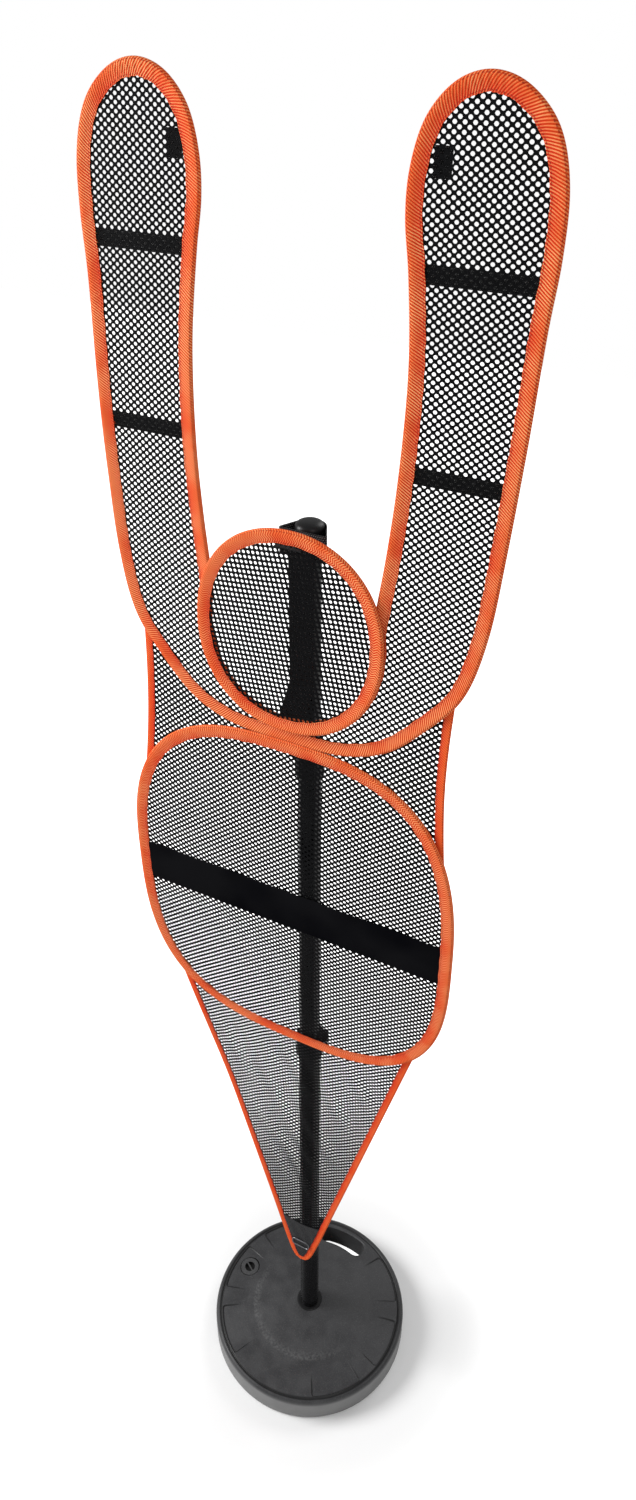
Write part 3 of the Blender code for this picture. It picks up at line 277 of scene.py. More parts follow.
# A closed profile of (radius, height) points turned round Z: x = radius * cos, y = radius * sin. Points on the
# axis are welded into poles
def turnedPiece(name, profile, steps, centre=(0, 0)):
    radius, height = np.asarray(profile, float).T
    turn = np.arange(steps + 1) / steps * 2 * np.pi
    c, s = np.cos(turn[:-1])[:, None], np.sin(turn[:-1])[:, None]
    grid = np.stack(np.broadcast_arrays(centre[0] + radius * c, centre[1] + radius * s, height), -1)
    obj = gridPiece(name, grid, True, turn * radius.max(), runOf(looped(profile)), sharp["turned"])
    if radius.min() < 1e-9:
        weld(obj)
    return obj


# Joins points nearer than a distance and drops the faces that this flattens
def weld(obj, distance=1e-6):
    bm = bmesh.new()
    bm.from_mesh(obj.data)
    bmesh.ops.remove_doubles(bm, verts=bm.verts, dist=distance)
    bmesh.ops.dissolve_degenerate(bm, edges=bm.edges, dist=distance)
    bm.to_mesh(obj.data)
    bm.free()


# Cuts pieces out of another one and bakes the cuts into its mesh
def cut(obj, cutters):
    for cutter in cutters:
        modifier = obj.modifiers.new("cut", "BOOLEAN")
        modifier.operation, modifier.solver, modifier.object = "DIFFERENCE", "EXACT", cutter
    bpy.context.view_layer.update()
    data = bpy.data.meshes.new_from_object(obj.evaluated_get(bpy.context.evaluated_depsgraph_get()))
    obj.modifiers.clear()
    obj.data = data
    for cutter in cutters:
        bpy.data.objects.remove(cutter, do_unlink=True)


# Materials: a small kit for node graphs
def newFinish(name, colour, roughness, specular=0.5, metallic=0.0):
    made = bpy.data.materials.new(name)
    made.use_nodes = True
    sockets = {"Base Color": (*colour, 1), "Roughness": roughness, "Specular IOR Level": specular,
               "Metallic": metallic}
    for socket, value in sockets.items():
        made.node_tree.nodes["Principled BSDF"].inputs[socket].default_value = value
    return made


# A node with its settings and inputs: an input is linked to another node's output, or holds a constant
def add(made, kind, inputs=(), **settings):
    node = made.node_tree.nodes.new("ShaderNode" + kind)
    for key, value in settings.items():
        setattr(node, key, value)
    for key, value in dict(inputs).items():
        if isinstance(value, bpy.types.NodeSocket):
            made.node_tree.links.new(value, node.inputs[key])
        else:
            node.inputs[key].default_value = value
    return node


def calc(made, operation, *values, clamp=False):
    return add(made, "Math", enumerate(values), operation=operation, use_clamp=clamp).outputs[0]


def times(made, a, b):
    return calc(made, "MULTIPLY", a, b)


def minus(made, a, b):
    return calc(made, "SUBTRACT", a, b)


def larger(made, a, b):
    return calc(made, "MAXIMUM", a, b)


def absolute(made, value):
    return calc(made, "ABSOLUTE", value)


# a * (1 - factor) + b * factor
def mixColour(made, factor, a, b):
    a, b = ((*value, 1) if isinstance(value, tuple) else value for value in (a, b))
    return add(made, "Mix", {0: factor, 6: a, 7: b}, data_type="RGBA").outputs[2]


def feed(made, socket, value):
    made.node_tree.links.new(value, made.node_tree.nodes["Principled BSDF"].inputs[socket])


def bump(made, height, distance, strength=1.0):
    inputs = {"Height": height, "Distance": distance, "Strength": strength}
    feed(made, "Normal", add(made, "Bump", inputs).outputs[0])


def place(made, kind="Object"):
    return add(made, "TexCoord").outputs[kind]


def noise(made, vector, scale, detail=2.0):
    return add(made, "TexNoise", {"Vector": vector, "Scale": scale, "Detail": detail}).outputs[0]


# Smooth step: 3 s^2 - 2 s^3, where s is the value's share of the way from low to high
def ramp(made, value, low, high, outLow=0.0, outHigh=1.0):
    inputs = {"Value": value, "From Min": low, "From Max": high, "To Min": outLow, "To Max": outHigh}
    return add(made, "MapRange", inputs, interpolation_type="SMOOTHSTEP").outputs[0]


# 0 to 1 and back over each period of a length: half of 1 + sin(2 pi value / period)
def wave(made, value, period):
    turn = times(made, value, 2 * math.pi / period)
    return calc(made, "MULTIPLY_ADD", calc(made, "SINE", turn), 0.5, 0.5)


def alongAcross(made):
    return add(made, "SeparateXYZ", {0: place(made, "UV")}).outputs[:2]


# In these dictionaries a range holds the two ends of a smooth step, a share is the strength that a colour or
# wave is mixed in with, a relief a bump's distance and strength, and a cloud or patch a noise's scale and detail
twill = {"inner": (0.76, 0.035, 0.006), "outer": (0.88, 0.105, 0.012), "rib": (1.0, 0.47, 0.19),
         "groove": (0.46, 0.016, 0.005), "stitch": (0.30, 0.015, 0.012), "roughness": 0.75, "specular": 0.08,
         "ribPeriod": 0.0034, "slant": 0.62, "chevron": 0.0055, "driftScale": 38.0, "drift": 0.0030,
         "ribHighlightRange": (0.35, 0.95), "grooveShadeRange": (0.5, 0.0), "grooveShadeShare": 0.75, "threadPeriod": 0.0011,
         "threadSlant": -1.4, "threadShadeShare": 0.14, "threadRelief": 0.25, "patch": (21.0, 3.0),
         "patchRange": (0.30, 0.62, 0.3, 1.0), "stitchPeriod": 0.0046, "stitchRange": (0.35, 0.5),
         "stitchRows": (0.0020, 0.0168), "stitchWidth": (0.0009, 0.0004), "stitchShare": 0.7,
         "relief": (0.0004, 0.8)}


# Diagonal ribs across the tape: a wave of along + slant * across, folded into a chevron for herringbone. The
# ribs' crests carry a painted highlight and their grooves and threads painted shade. The ground goes from red at
# the tape's mouth to orange at its fold, painted shade at the mouth and painted highlight on the rounded fold,
# and stitches are short dashes in two rows
def orangeTwill(name, ribStrength, herringbone, width):
    made = newFinish(name, twill["outer"], twill["roughness"], twill["specular"])
    along, across = alongAcross(made)
    lean = calc(made, "PINGPONG", across, twill["chevron"]) if herringbone else across
    drift = times(made, noise(made, place(made), twill["driftScale"]), twill["drift"])
    ribPlace = calc(made, "ADD", calc(made, "MULTIPLY_ADD", lean, twill["slant"], along), drift)
    rib = wave(made, ribPlace, twill["ribPeriod"])
    thread = wave(made, calc(made, "MULTIPLY_ADD", lean, twill["threadSlant"], along), twill["threadPeriod"])
    patch = ramp(made, noise(made, place(made), *twill["patch"]), *twill["patchRange"])
    fold = calc(made, "PINGPONG", across, width)
    # Darker and redder at the mouth than at the fold: painted shade at the mouth, painted highlight on the
    # rounded fold
    colour = mixColour(made, ramp(made, fold, 0.0, width), twill["inner"], twill["outer"])
    # Pale rib crests are a painted highlight; below, the grooves and the threads get painted shade
    ribHighlight = times(made, ramp(made, rib, *twill["ribHighlightRange"]), patch)
    colour = mixColour(made, times(made, ribHighlight, ribStrength), colour, twill["rib"])
    groove = times(made, ramp(made, rib, *twill["grooveShadeRange"]), twill["grooveShadeShare"] * ribStrength)
    colour = mixColour(made, groove, colour, twill["groove"])
    colour = mixColour(made, times(made, thread, twill["threadShadeShare"]), colour, twill["groove"])
    dash = ramp(made, wave(made, along, twill["stitchPeriod"]), *twill["stitchRange"])
    for row in twill["stitchRows"]:
        offRow = absolute(made, minus(made, fold, row * width / tape["width"]))
        stitch = times(made, ramp(made, offRow, *twill["stitchWidth"]), dash)
        colour = mixColour(made, times(made, stitch, twill["stitchShare"]), colour, twill["stitch"])
    feed(made, "Base Color", colour)
    bump(made, calc(made, "MULTIPLY_ADD", thread, twill["threadRelief"], rib), *twill["relief"])
    return made


# Gloss is a shader's roughness and specular, and plain, further on, its own colour. The crowns carry a painted
# sheen, paler on the hems' and the lattice's tapes than on the other webbing, and the lattice's paler ground is
# painted light too
weave = {"ground": (0.014, 0.014, 0.015), "crownSheen": (0.14, 0.14, 0.145), "gloss": (0.6, 0.12), "period": 0.0024,
         "crownSheenRange": (0.35, 0.9), "crownSheenShare": 0.8, "relief": (0.0004, 0.8)}
paleCrownSheen = (0.26, 0.26, 0.26)
weaves = {"webbing": {**weave, "name": "webbing"},
          "hem": {**weave, "name": "hem_webbing", "crownSheen": paleCrownSheen, "period": 0.0030},
          "lattice": {**weave, "name": "arm_webbing", "crownSheen": paleCrownSheen, "ground": (0.035, 0.035, 0.036)}}


# Woven tape: the product of a wave across and one that leans by half, so that its pips stand in staggered rows,
# with a painted sheen on their crowns
def blackWebbing(look):
    made = newFinish(look["name"], look["ground"], *look["gloss"])
    along, across = alongAcross(made)
    pip = wave(made, calc(made, "MULTIPLY_ADD", across, 0.5, along), look["period"])
    height = times(made, wave(made, across, look["period"]), pip)
    # Pale crowns on the pips: painted sheen
    lift = times(made, ramp(made, height, *look["crownSheenRange"]), look["crownSheenShare"])
    feed(made, "Base Color", mixColour(made, lift, look["ground"], look["crownSheen"]))
    bump(made, height, *look["relief"])
    return made


plastic = {"name": "black_plastic", "plain": (0.006, 0.006, 0.0065), "gloss": (0.38, 0.3),
           "dark": (0.005, 0.005, 0.0055), "pale": (0.012, 0.012, 0.013), "range": (0.4, 0.8), "scale": 900.0,
           "relief": (0.00008, 0.4)}
grained = {"plastic": plastic, "rubber": {**plastic, "name": "black_rubber", "gloss": (0.8, 0.3)},
           "knit": {"name": "knit", "plain": (0.004, 0.004, 0.0045), "gloss": (0.75, 0.05),
                    "dark": (0.003, 0.003, 0.0035), "pale": (0.018, 0.018, 0.020), "range": (0.55, 0.8),
                    "scale": 900.0, "relief": (0.0003, 0.6)}}


# A fine noise picks between a dark and a pale colour, and is the relief too
def grainedBlack(look):
    made = newFinish(look["name"], look["plain"], *look["gloss"])
    grain = noise(made, place(made), look["scale"])
    feed(made, "Base Color", mixColour(made, ramp(made, grain, *look["range"]), look["dark"], look["pale"]))
    bump(made, grain, *look["relief"])
    return made


base = {"radius": 0.2030, "rimHeight": 0.0587, "domeRise": 0.0198, "domeRadius": 0.1350, "footRise": 0.0043,
        "domePower": 1.3, "rimRound": 0.0090, "footRound": 0.0050, "collar": 0.02665, "grooveRadius": 0.1922,
        "grooveWidth": 0.0015, "grooveDepth": 0.0021, "bore": 0.035, "wallLevels": (0.035, 0.018), "under": 0.1,
        "turnStep": 1.25, "uvStep": 0.003}
sector = {"inner": 0.1380, "outer": 0.1885, "half": math.radians(16), "corner": 0.0055, "depth": 0.0028,
          "wall": 0.0018, "places": (0, 45, 135, 180, 225, 315), "edge": (-1.2, 0.8, 9)}
plug = {"reach": 0.1563, "angle": math.radians(176.3), "flange": 0.0200, "margin": 0.0013, "stem": 0.0133,
        "well": 0.0112, "seatLevel": 0.0545, "holeLevel": 0.0400, "cutTop": 0.1}
plugSpot = (plug["reach"] * math.cos(plug["angle"]), plug["reach"] * math.sin(plug["angle"]))
charcoal = {"plain": (0.05, 0.05, 0.052), "gloss": (0.5, 0.35), "dark": (0.025, 0.025, 0.027),
            "pale": (0.039, 0.039, 0.041), "speck": (0.115, 0.115, 0.115), "speckRange": (0.50, 0.72),
            "speckShare": 0.35, "arcHighlight": (0.16, 0.16, 0.16), "arcHighlightShare": 0.28, "arcHighlightFrom": (0.100, 0.117),
            "arcHighlightTo": (0.124, 0.119), "facing": (-3.0, -7.0), "side": (0.22, 0.22, 0.22), "floorReflectionShare": 0.8,
            "floorReflectionReach": (0.1965, 0.2000), "floorReflectionLevel": (0.058, 0.046), "shadeTopLevel": (0.045, 0.050),
            "crease": (0.006, 0.006, 0.006), "grooveShadeRange": (0.0046, 0.0020), "grooveShadeShare": 0.8,
            "lineShadeRange": (0.0019, 0.0006), "lineShadeFade": (0.004, 0.030), "lineShadeShare": 0.95, "plugShadeGap": 0.0008,
            "plugShadeRange": (0.0014, 0.0005), "grainScale": 700.0, "cloud": (26.0, 4.0), "cloudRange": (0.3, 0.7),
            "arcBreak": (210.0, 3.0), "arcBreakRange": (0.35, 0.65), "facingRange": (-0.2, 0.6),
            "roughRange": (0.3, 0.75, 0.42, 0.58), "relief": (0.0003, 0.6)}


# Distance from an upright axis: the root of x^2 + y^2
def flatReach(made, split, centre=(0.0, 0.0)):
    x, y = (minus(made, split[k], centre[k]) for k in (0, 1))
    return calc(made, "SQRT", calc(made, "MULTIPLY_ADD", x, x, times(made, y, y)))


# 1 on the outline of the recesses, where painted shade goes: a rounded wedge's distance, as in sectorGap, at six
# of eight places
def sectorShadeLine(made, split, reach):
    x, y = split[:2]
    turn = calc(made, "ADD", calc(made, "ARCTAN2", y, x), 2 * math.pi)
    fromPlace = calc(made, "PINGPONG", turn, math.pi / 4)
    nearest = calc(made, "MINIMUM", fromPlace, minus(made, math.pi / 4, fromPlace))
    beside = calc(made, "MULTIPLY_ADD", reach, minus(made, nearest, sector["half"]), sector["corner"])
    beyond = minus(made, reach, sector["outer"] - sector["corner"])
    b, o = larger(made, beside, 0.0), larger(made, beyond, 0.0)
    outside = calc(made, "SQRT", calc(made, "MULTIPLY_ADD", b, b, times(made, o, o)))
    inside = calc(made, "MINIMUM", larger(made, beside, beyond), 0.0)
    away = minus(made, calc(made, "ADD", outside, inside), sector["corner"])
    line = ramp(made, absolute(made, away), *charcoal["lineShadeRange"])
    fade = ramp(made, reach, *(sector["inner"] + gap for gap in charcoal["lineShadeFade"]))
    held = calc(made, "GREATER_THAN", absolute(made, x), times(made, absolute(made, y), math.tan(math.pi / 8)))
    return times(made, times(made, line, fade), held)


# Blow-moulded plastic: fine specks; a broken paler arc on the side that faces the light, which is a painted
# highlight; a side wall paler near the floor, which is a painted reflection of the floor; and painted shade,
# dark in the rim's groove, round the recesses and round the plug
def charcoalPlastic():
    made = newFinish("charcoal_plastic", charcoal["plain"], *charcoal["gloss"])
    spot = place(made)
    split = add(made, "SeparateXYZ", {0: spot}).outputs
    reach, level = flatReach(made, split), split[2]
    grain, cloud = noise(made, spot, charcoal["grainScale"]), noise(made, spot, *charcoal["cloud"])
    colour = mixColour(made, ramp(made, cloud, *charcoal["cloudRange"]), charcoal["dark"], charcoal["pale"])
    specks = times(made, ramp(made, grain, *charcoal["speckRange"]), charcoal["speckShare"])
    colour = mixColour(made, specks, colour, charcoal["speck"])
    # A paler arc round the dome, broken by a noise and kept to the side that faces the key light: painted
    # highlight
    ring = times(made, ramp(made, reach, *charcoal["arcHighlightFrom"]), ramp(made, reach, *charcoal["arcHighlightTo"]))
    facing = calc(made, "ADD", *(times(made, split[k], charcoal["facing"][k]) for k in (0, 1)))
    arcBreak = ramp(made, noise(made, spot, *charcoal["arcBreak"]), *charcoal["arcBreakRange"])
    paintedArc = times(made, times(made, ring, ramp(made, facing, *charcoal["facingRange"])), arcBreak)
    colour = mixColour(made, times(made, paintedArc, charcoal["arcHighlightShare"]), colour, charcoal["arcHighlight"])
    # The side wall is paler low down, near the floor: painted reflection of the white floor
    side = times(made, ramp(made, reach, *charcoal["floorReflectionReach"]), ramp(made, level, *charcoal["floorReflectionLevel"]))
    colour = mixColour(made, times(made, side, charcoal["floorReflectionShare"]), colour, charcoal["side"])
    # Painted shade: the crease colour, near black, in the rim's groove, along the recesses' outlines and round
    # the plug, on the top only
    offGroove = absolute(made, minus(made, reach, base["grooveRadius"]))
    groove = times(made, ramp(made, offGroove, *charcoal["grooveShadeRange"]), charcoal["grooveShadeShare"])
    line = times(made, sectorShadeLine(made, split, reach), charcoal["lineShadeShare"])
    plugEdge = plug["flange"] + charcoal["plugShadeGap"]
    offPlug = absolute(made, minus(made, flatReach(made, split, plugSpot), plugEdge))
    crease = larger(made, groove, larger(made, line, ramp(made, offPlug, *charcoal["plugShadeRange"])))
    crease = times(made, crease, ramp(made, level, *charcoal["shadeTopLevel"]))
    feed(made, "Base Color", mixColour(made, crease, colour, charcoal["crease"]))
    feed(made, "Roughness", ramp(made, cloud, *charcoal["roughRange"]))
    bump(made, grain, *charcoal["relief"])
    return made


plugLook = {"dark": (0.038, 0.038, 0.040), "pale": (0.085, 0.085, 0.085), "range": (0.45, 0.75),
            "well": (0.003, 0.003, 0.003), "wellShadeEdge": (0.0006, -0.0004), "wellShadeLevel": (0.0600, 0.0590),
            "relief": (0.0002, 0.5)}


# The base's plastic on the plug's flange and rib, with painted shade making it near black down in its well
def plugPlastic():
    made = newFinish("plug_plastic", charcoal["plain"], *charcoal["gloss"])
    spot = place(made)
    split = add(made, "SeparateXYZ", {0: spot}).outputs
    inWell = ramp(made, flatReach(made, split, plugSpot), *(plug["well"] + gap for gap in plugLook["wellShadeEdge"]))
    deep = times(made, inWell, ramp(made, split[2], *plugLook["wellShadeLevel"]))
    grain = noise(made, spot, charcoal["grainScale"])
    colour = mixColour(made, ramp(made, grain, *plugLook["range"]), plugLook["dark"], plugLook["pale"])
    # Painted shade in the well
    feed(made, "Base Color", mixColour(made, deep, colour, plugLook["well"]))
    bump(made, grain, *plugLook["relief"])
    return made


paint = {"plain": (0.004, 0.004, 0.0045), "gloss": (0.25, 0.4), "cloud": (30.0, 3.0),
         "roughRange": (0.3, 0.7, 0.17, 0.30), "peelScale": 420.0, "relief": (0.00002, 0.3)}


# Powder coat: near black and glossy, with a slight orange peel
def blackPaint():
    made = newFinish("black_paint", paint["plain"], *paint["gloss"])
    feed(made, "Roughness", ramp(made, noise(made, place(made), *paint["cloud"]), *paint["roughRange"]))
    bump(made, noise(made, place(made), paint["peelScale"]), *paint["relief"])
    return made


# Name, colour and roughness of each
# The ring's steel is the zinc plate darkened: a painted-shade copy of it
steels = {"zinc": ("zinc_plate", (0.55, 0.55, 0.57), 0.32), "ring": ("shaded_zinc", (0.16, 0.16, 0.17), 0.42),
          "spring": ("spring_steel", (0.4, 0.4, 0.42), 0.35)}
steelGrain = {"cloud": (700.0, 3.0), "range": (0.3, 0.7), "spread": (-0.08, 0.12), "relief": (0.00005, 0.4)}


# A fine noise moves the roughness by the spread, and is the relief too
def steel(name, colour, roughness):
    made = newFinish(name, colour, roughness, metallic=1.0)
    grain = noise(made, place(made), *steelGrain["cloud"])
    ends = (roughness + gap for gap in steelGrain["spread"])
    feed(made, "Roughness", ramp(made, grain, *steelGrain["range"], *ends))
    bump(made, grain, *steelGrain["relief"])
    return made


sand = {"plain": (0.55, 0.43, 0.28), "roughness": 0.95, "dark": (0.42, 0.32, 0.20), "pale": (0.66, 0.54, 0.37),
        "scale": 1200.0, "relief": 0.0006}


# A fine noise mixes two colours, and is the relief too
def looseSand():
    made = newFinish("sand", sand["plain"], sand["roughness"])
    grain = noise(made, place(made), sand["scale"])
    feed(made, "Base Color", mixColour(made, grain, sand["dark"], sand["pale"]))
    bump(made, grain, sand["relief"])
    return made


cloth = {"plain": (0.004, 0.004, 0.005), "gloss": (0.8, 0.0), "dark": (0.003, 0.003, 0.004),
         "pale": (0.007, 0.007, 0.008), "scale": 9.0, "range": (0.3, 0.7), "period": 0.0009,
         "relief": (0.0002, 0.4)}


# The belt's plain cloth with a fine ripstop weave: the product of a wave each way
def beltCloth():
    made = newFinish("belt_cloth", cloth["plain"], *cloth["gloss"])
    ripstop = times(made, *(wave(made, way, cloth["period"]) for way in alongAcross(made)))
    shine = ramp(made, noise(made, place(made), cloth["scale"]), *cloth["range"])
    feed(made, "Base Color", mixColour(made, shine, cloth["dark"], cloth["pale"]))
    bump(made, ripstop, *cloth["relief"])
    return made


finishes = {"arms": orangeTwill("arm_twill", 0.9, False, tape["width"]),
            "rings": orangeTwill("ring_twill", 0.8, True, tape["width"]),
            "edges": orangeTwill("edge_tape", 0.3, False, tape["edgeWidth"]),
            "base": charcoalPlastic(), "plug": plugPlastic(), "paint": blackPaint(), "belt": beltCloth(),
            "sand": looseSand(), **{key: blackWebbing(look) for key, look in weaves.items()},
            **{key: grainedBlack(look) for key, look in grained.items()},
            **{key: steel(*look) for key, look in steels.items()}}
print("materials ready")


# Gives a finished piece its material and its body, and hides the CAD node that it stands for
def dress(obj, finish, body, node):
    obj.data.materials.clear()
    obj.data.materials.append(finishes[finish])
    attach(obj, body)
    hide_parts(node)
    return obj


# Bindings: tape folded over the panels' edges, with a steel hoop in the fold of the wide ones. The section is
# a teardrop: an elliptic nose at the fold, then a cosine slope down to the mouth, its front side first
def tapeSection(width, halfThick, mouth):
    nose, fabric = tape["nose"], tape["fabric"]
    q, edge = np.linspace(0, 1, tape["points"]) ** tape["crowding"], width / 2
    rise = np.where(q < nose, np.sqrt(np.clip(1 - (1 - q / nose) ** 2, 0, 1)), 1.0)
    fall = 0.5 + 0.5 * np.cos(np.pi * np.clip((q - nose) / (1 - nose), 0, 1))
    deep = np.where(q < nose, halfThick * rise, mouth + (halfThick - mouth) * fall)
    outer = np.stack([width * q - edge, deep], 1)
    lining = np.stack([(width - fabric) * q + fabric - edge, np.clip(deep, mouth, None) - fabric], 1)
    lining[0, 1] = 0.0
    return np.vstack([outer[::-1], outer[1:] * (1, -1), (lining * (1, -1))[::-1], lining[1:]])


# A sine of the length whose phase drifts, so that no two folds are alike
def uneven(along, period, drift, rate):
    return np.sin(2 * np.pi * along / period + drift * np.sin(along * rate))[:, None]


# The section swept along a line, puckered at its mouth where the line bends tightly
def foldedTape(name, path, y, closed, width, halfThick, mouth, finish, node):
    section = tapeSection(width, halfThick, mouth)
    left = aheadOf(path, closed)[:, ::-1] * (-1, 1)
    bend = np.linalg.norm(np.roll(left, -1, 0) - np.roll(left, 1, 0), axis=1) / (2 * tape["step"])
    if not closed:
        bend[0] = bend[-1] = 0
    beside = tape["bendReach"]  # the bend is a mean over this many points on both sides
    kernel = np.ones(2 * beside + 1) / (2 * beside + 1)
    bend = np.convolve(np.pad(bend, beside, "wrap" if closed else "edge"), kernel, "valid")
    tight = np.clip((bend - tape["slackBend"]) / (tape["tightBend"] - tape["slackBend"]), 0, 1)[:, None]
    along = np.arange(len(path)) * tape["step"]
    share = ((section[:, 0] + width / 2) / width)[None]
    pucker = tight * uneven(along, *tape["pucker"])
    deeper = (tape["puckerDepth"] * pucker * np.sin(np.pi * share ** 0.8)
              + tape["swellDepth"] * uneven(along, *tape["swell"]) * share)
    wider = tape["wanderReach"] * uneven(along, *tape["wander"]) + tape["puckerReach"] * pucker
    shape = section + np.stack([wider * share ** 2, deeper * np.sign(section[:, 1])], -1)
    deep = np.tile((0.0, -1.0, 0.0), (len(path), 1))
    obj = bowed(sweep(name, upright(path, y), upright(left, 0.0), deep, shape, closed))
    dress(obj, finish, "figure", node)
    lengthOf(section) / 2
    lengthOf(path, closed)


for label, path, y in (("head", headRing, headY), ("arms", armLine, bodyY), ("belly", bellyRing, bodyY)):
    foldedTape(label + "_tape", path, y, True, tape["width"], tape["halfThick"], tape["mouth"],
               "arms" if label == "arms" else "rings", label + "_binding")
for name, path in (("waist_tape_right", waistLine), ("waist_tape_left", mirrored(waistLine)),
                   ("tail_tape", tailLine)):
    foldedTape(name, evenPath(path, tape["step"], False), netY, False, tape["edgeWidth"],
               tape["edgeHalfThick"], tape["edgeMouth"], "edges", name.replace("tape", "binding"))
print("bindings ready")

# Knitted panels: diamond cells in staggered rows, each with a rounded hole. The limits are how far outside a
# panel's line a cell's middle may lie, below 0 where it must lie inside
knit = {"pitch": 0.0105, "rise": 0.0089, "thick": 0.0008, "holeAcross": 0.00278, "holeUp": 0.00243,
        "holeRound": 1.8, "wideLimit": 0.0015, "edgeLimit": -0.0007, "headHole": 0.93, "armHole": 0.97,
        "bodyHole": 0.88, "headTurn": math.radians(-33.5), "joinStep": 2e-5, "ripple": 0.0004,
        "sparse": 0.3, "sparseFill": 0.5}


# Turns rows of (x, z) anticlockwise
def turnMatrix(turn):
    c, s = math.cos(turn), math.sin(turn)
    return np.array([(c, s), (-s, c)])


# Middles of the cells round a line: rows half a rise apart, every other one moved by half a pitch
def knitCells(line, turn):
    centre = (line.max(0) + line.min(0)) / 2
    reach = np.linalg.norm(line.max(0) - line.min(0)) / 2
    columns, rows = math.ceil(reach / knit["pitch"]) + 1, math.ceil(2 * reach / knit["rise"]) + 1
    i, j = np.meshgrid(np.arange(-columns, columns + 1), np.arange(-rows, rows + 1))
    flat = np.stack([(i + (j % 2) / 2).ravel() * knit["pitch"], j.ravel() * knit["rise"] / 2], 1)
    return flat @ turnMatrix(turn) + centre


# Each cell is a diamond ring of 12 triangles a side; its hole has 8 points on a superellipse. Cells share
# their corners, and edges with one cell only are closed by a wall
def knitPanel(name, cells, turn, y, ripple, hole, node):
    theta = np.arange(8) / 8 * 2 * np.pi
    c, s = np.cos(theta), np.sin(theta)
    reach = (np.abs(c / knit["holeAcross"]) ** knit["holeRound"]
             + np.abs(s / knit["holeUp"]) ** knit["holeRound"]) ** (-1 / knit["holeRound"]) * hole
    corner = np.array([(1, 0), (0, 1), (-1, 0), (0, -1)]) * (knit["pitch"] / 2, knit["rise"] / 2)
    template = np.vstack([corner, np.stack([reach * c, reach * s], 1)]) @ turnMatrix(turn)
    flat = (cells[:, None] + template[None]).reshape(-1, 2)
    keys = np.round(flat / knit["joinStep"]).astype(np.int64)
    first, owner = np.unique(keys[:, 0] * 10 ** 6 + keys[:, 1], return_index=True, return_inverse=True)[1:]
    flat, owner = flat[first], owner.reshape(-1, 12)
    count = len(flat)
    front = upright(flat, y - knit["thick"] / 2)
    front[:, 1] += ripple(flat[:, 0], flat[:, 1])
    face = []
    for quarter in range(4):
        a, b = quarter, (quarter + 1) % 4
        h = [4 + (2 * quarter + k) % 8 for k in range(3)]
        face += [(a, h[1], h[0]), (a, b, h[1]), (b, h[2], h[1])]
    triangles = owner[:, np.array(face)].reshape(-1, 3)
    inner = owner[:, [(4 + k, 4 + (k + 1) % 8) for k in range(8)]].reshape(-1, 2)
    rim = owner[:, [(k, (k + 1) % 4) for k in range(4)]].reshape(-1, 2)
    low = np.sort(rim, 1)
    back, uses = np.unique(low[:, 0] * count + low[:, 1], return_inverse=True, return_counts=True)[1:]
    rim = rim[uses[back.reshape(-1)] == 1]
    walls = np.vstack([np.stack([inner[:, 0], inner[:, 1], inner[:, 1] + count, inner[:, 0] + count], 1),
                       np.stack([rim[:, 0], rim[:, 0] + count, rim[:, 1] + count, rim[:, 1]], 1)])
    obj = meshPiece(name, np.vstack([front, front + (0, knit["thick"], 0)]), walls, sharp["knit"],
                    np.vstack([triangles, triangles[:, ::-1] + count]))
    dress(bowed(obj), "knit", "figure", node)
    print(name, len(cells), "cells")


# The product of a sine of x that wanders with z and a sine of z
def flatRipple(x, z):
    return knit["ripple"] * np.sin(x * 61 + 1.7 * np.sin(z * 23)) * np.sin(z * 47)


# A fade's two values are the distance that it starts at and the distance that it takes
crease = {"depth": 0.0016, "lean": (0.8, 0.35), "period": 0.052, "fineDepth": 0.0008, "topFade": (0.0, 0.10),
          "tipFade": (0.13, 0.10), "edgeFade": (0.008, 0.03)}


# Creases that lean along the tail's edges and fade towards its tip, its top and its edges
def tailRipple(x, z):
    inward = np.interp(z, tailHalf[:, 1], tailHalf[:, 0]) - np.abs(x)
    strength = 1.0
    for apart, (start, over) in ((bellyMid.z - bellyHalf[2] - z, crease["topFade"]),
                                 (z - tailTipZ, crease["tipFade"]), (inward, crease["edgeFade"])):
        strength = strength * np.clip((apart - start) / over, 0, 1)
    lean = (x * crease["lean"][0] + z * crease["lean"][1]) * 2 * np.pi / crease["period"]
    fine = crease["fineDepth"] * np.sin(x * 140 + z * 61)
    return strength * (crease["depth"] * np.sin(lean + 2 * np.sin(z * 19)) + fine) + flatRipple(x, z)


armCells = knitCells(armLine, 0.0)
armCells = armCells[signedDistance(armCells, evenPath(armLine, outline["coarse"])) < knit["wideLimit"]]
for side, name in ((-1, "arm_mesh_left"), (1, "arm_mesh_right")):
    mine = armCells[(armCells[:, 0] >= 0) == (side > 0)]
    knitPanel(name, mine, 0.0, bodyY, flatRipple, knit["armHole"], "arms_net")
headCells = knitCells(headRing, knit["headTurn"])
headCells = headCells[signedDistance(headCells, evenPath(headRing, outline["coarse"])) < knit["wideLimit"]]
knitPanel("head_mesh", headCells, knit["headTurn"], headY, flatRipple, knit["headHole"],
          "head_net")
torsoCells = knitCells(torsoOutline, 0.0)
torsoCells = torsoCells[signedDistance(torsoCells, torsoOutline) < knit["edgeLimit"]]
inBelly = signedDistance(torsoCells, evenPath(bellyRing, outline["coarse"])) < 0
isHigh = torsoCells[:, 1] > middleOf("belly_belt").z
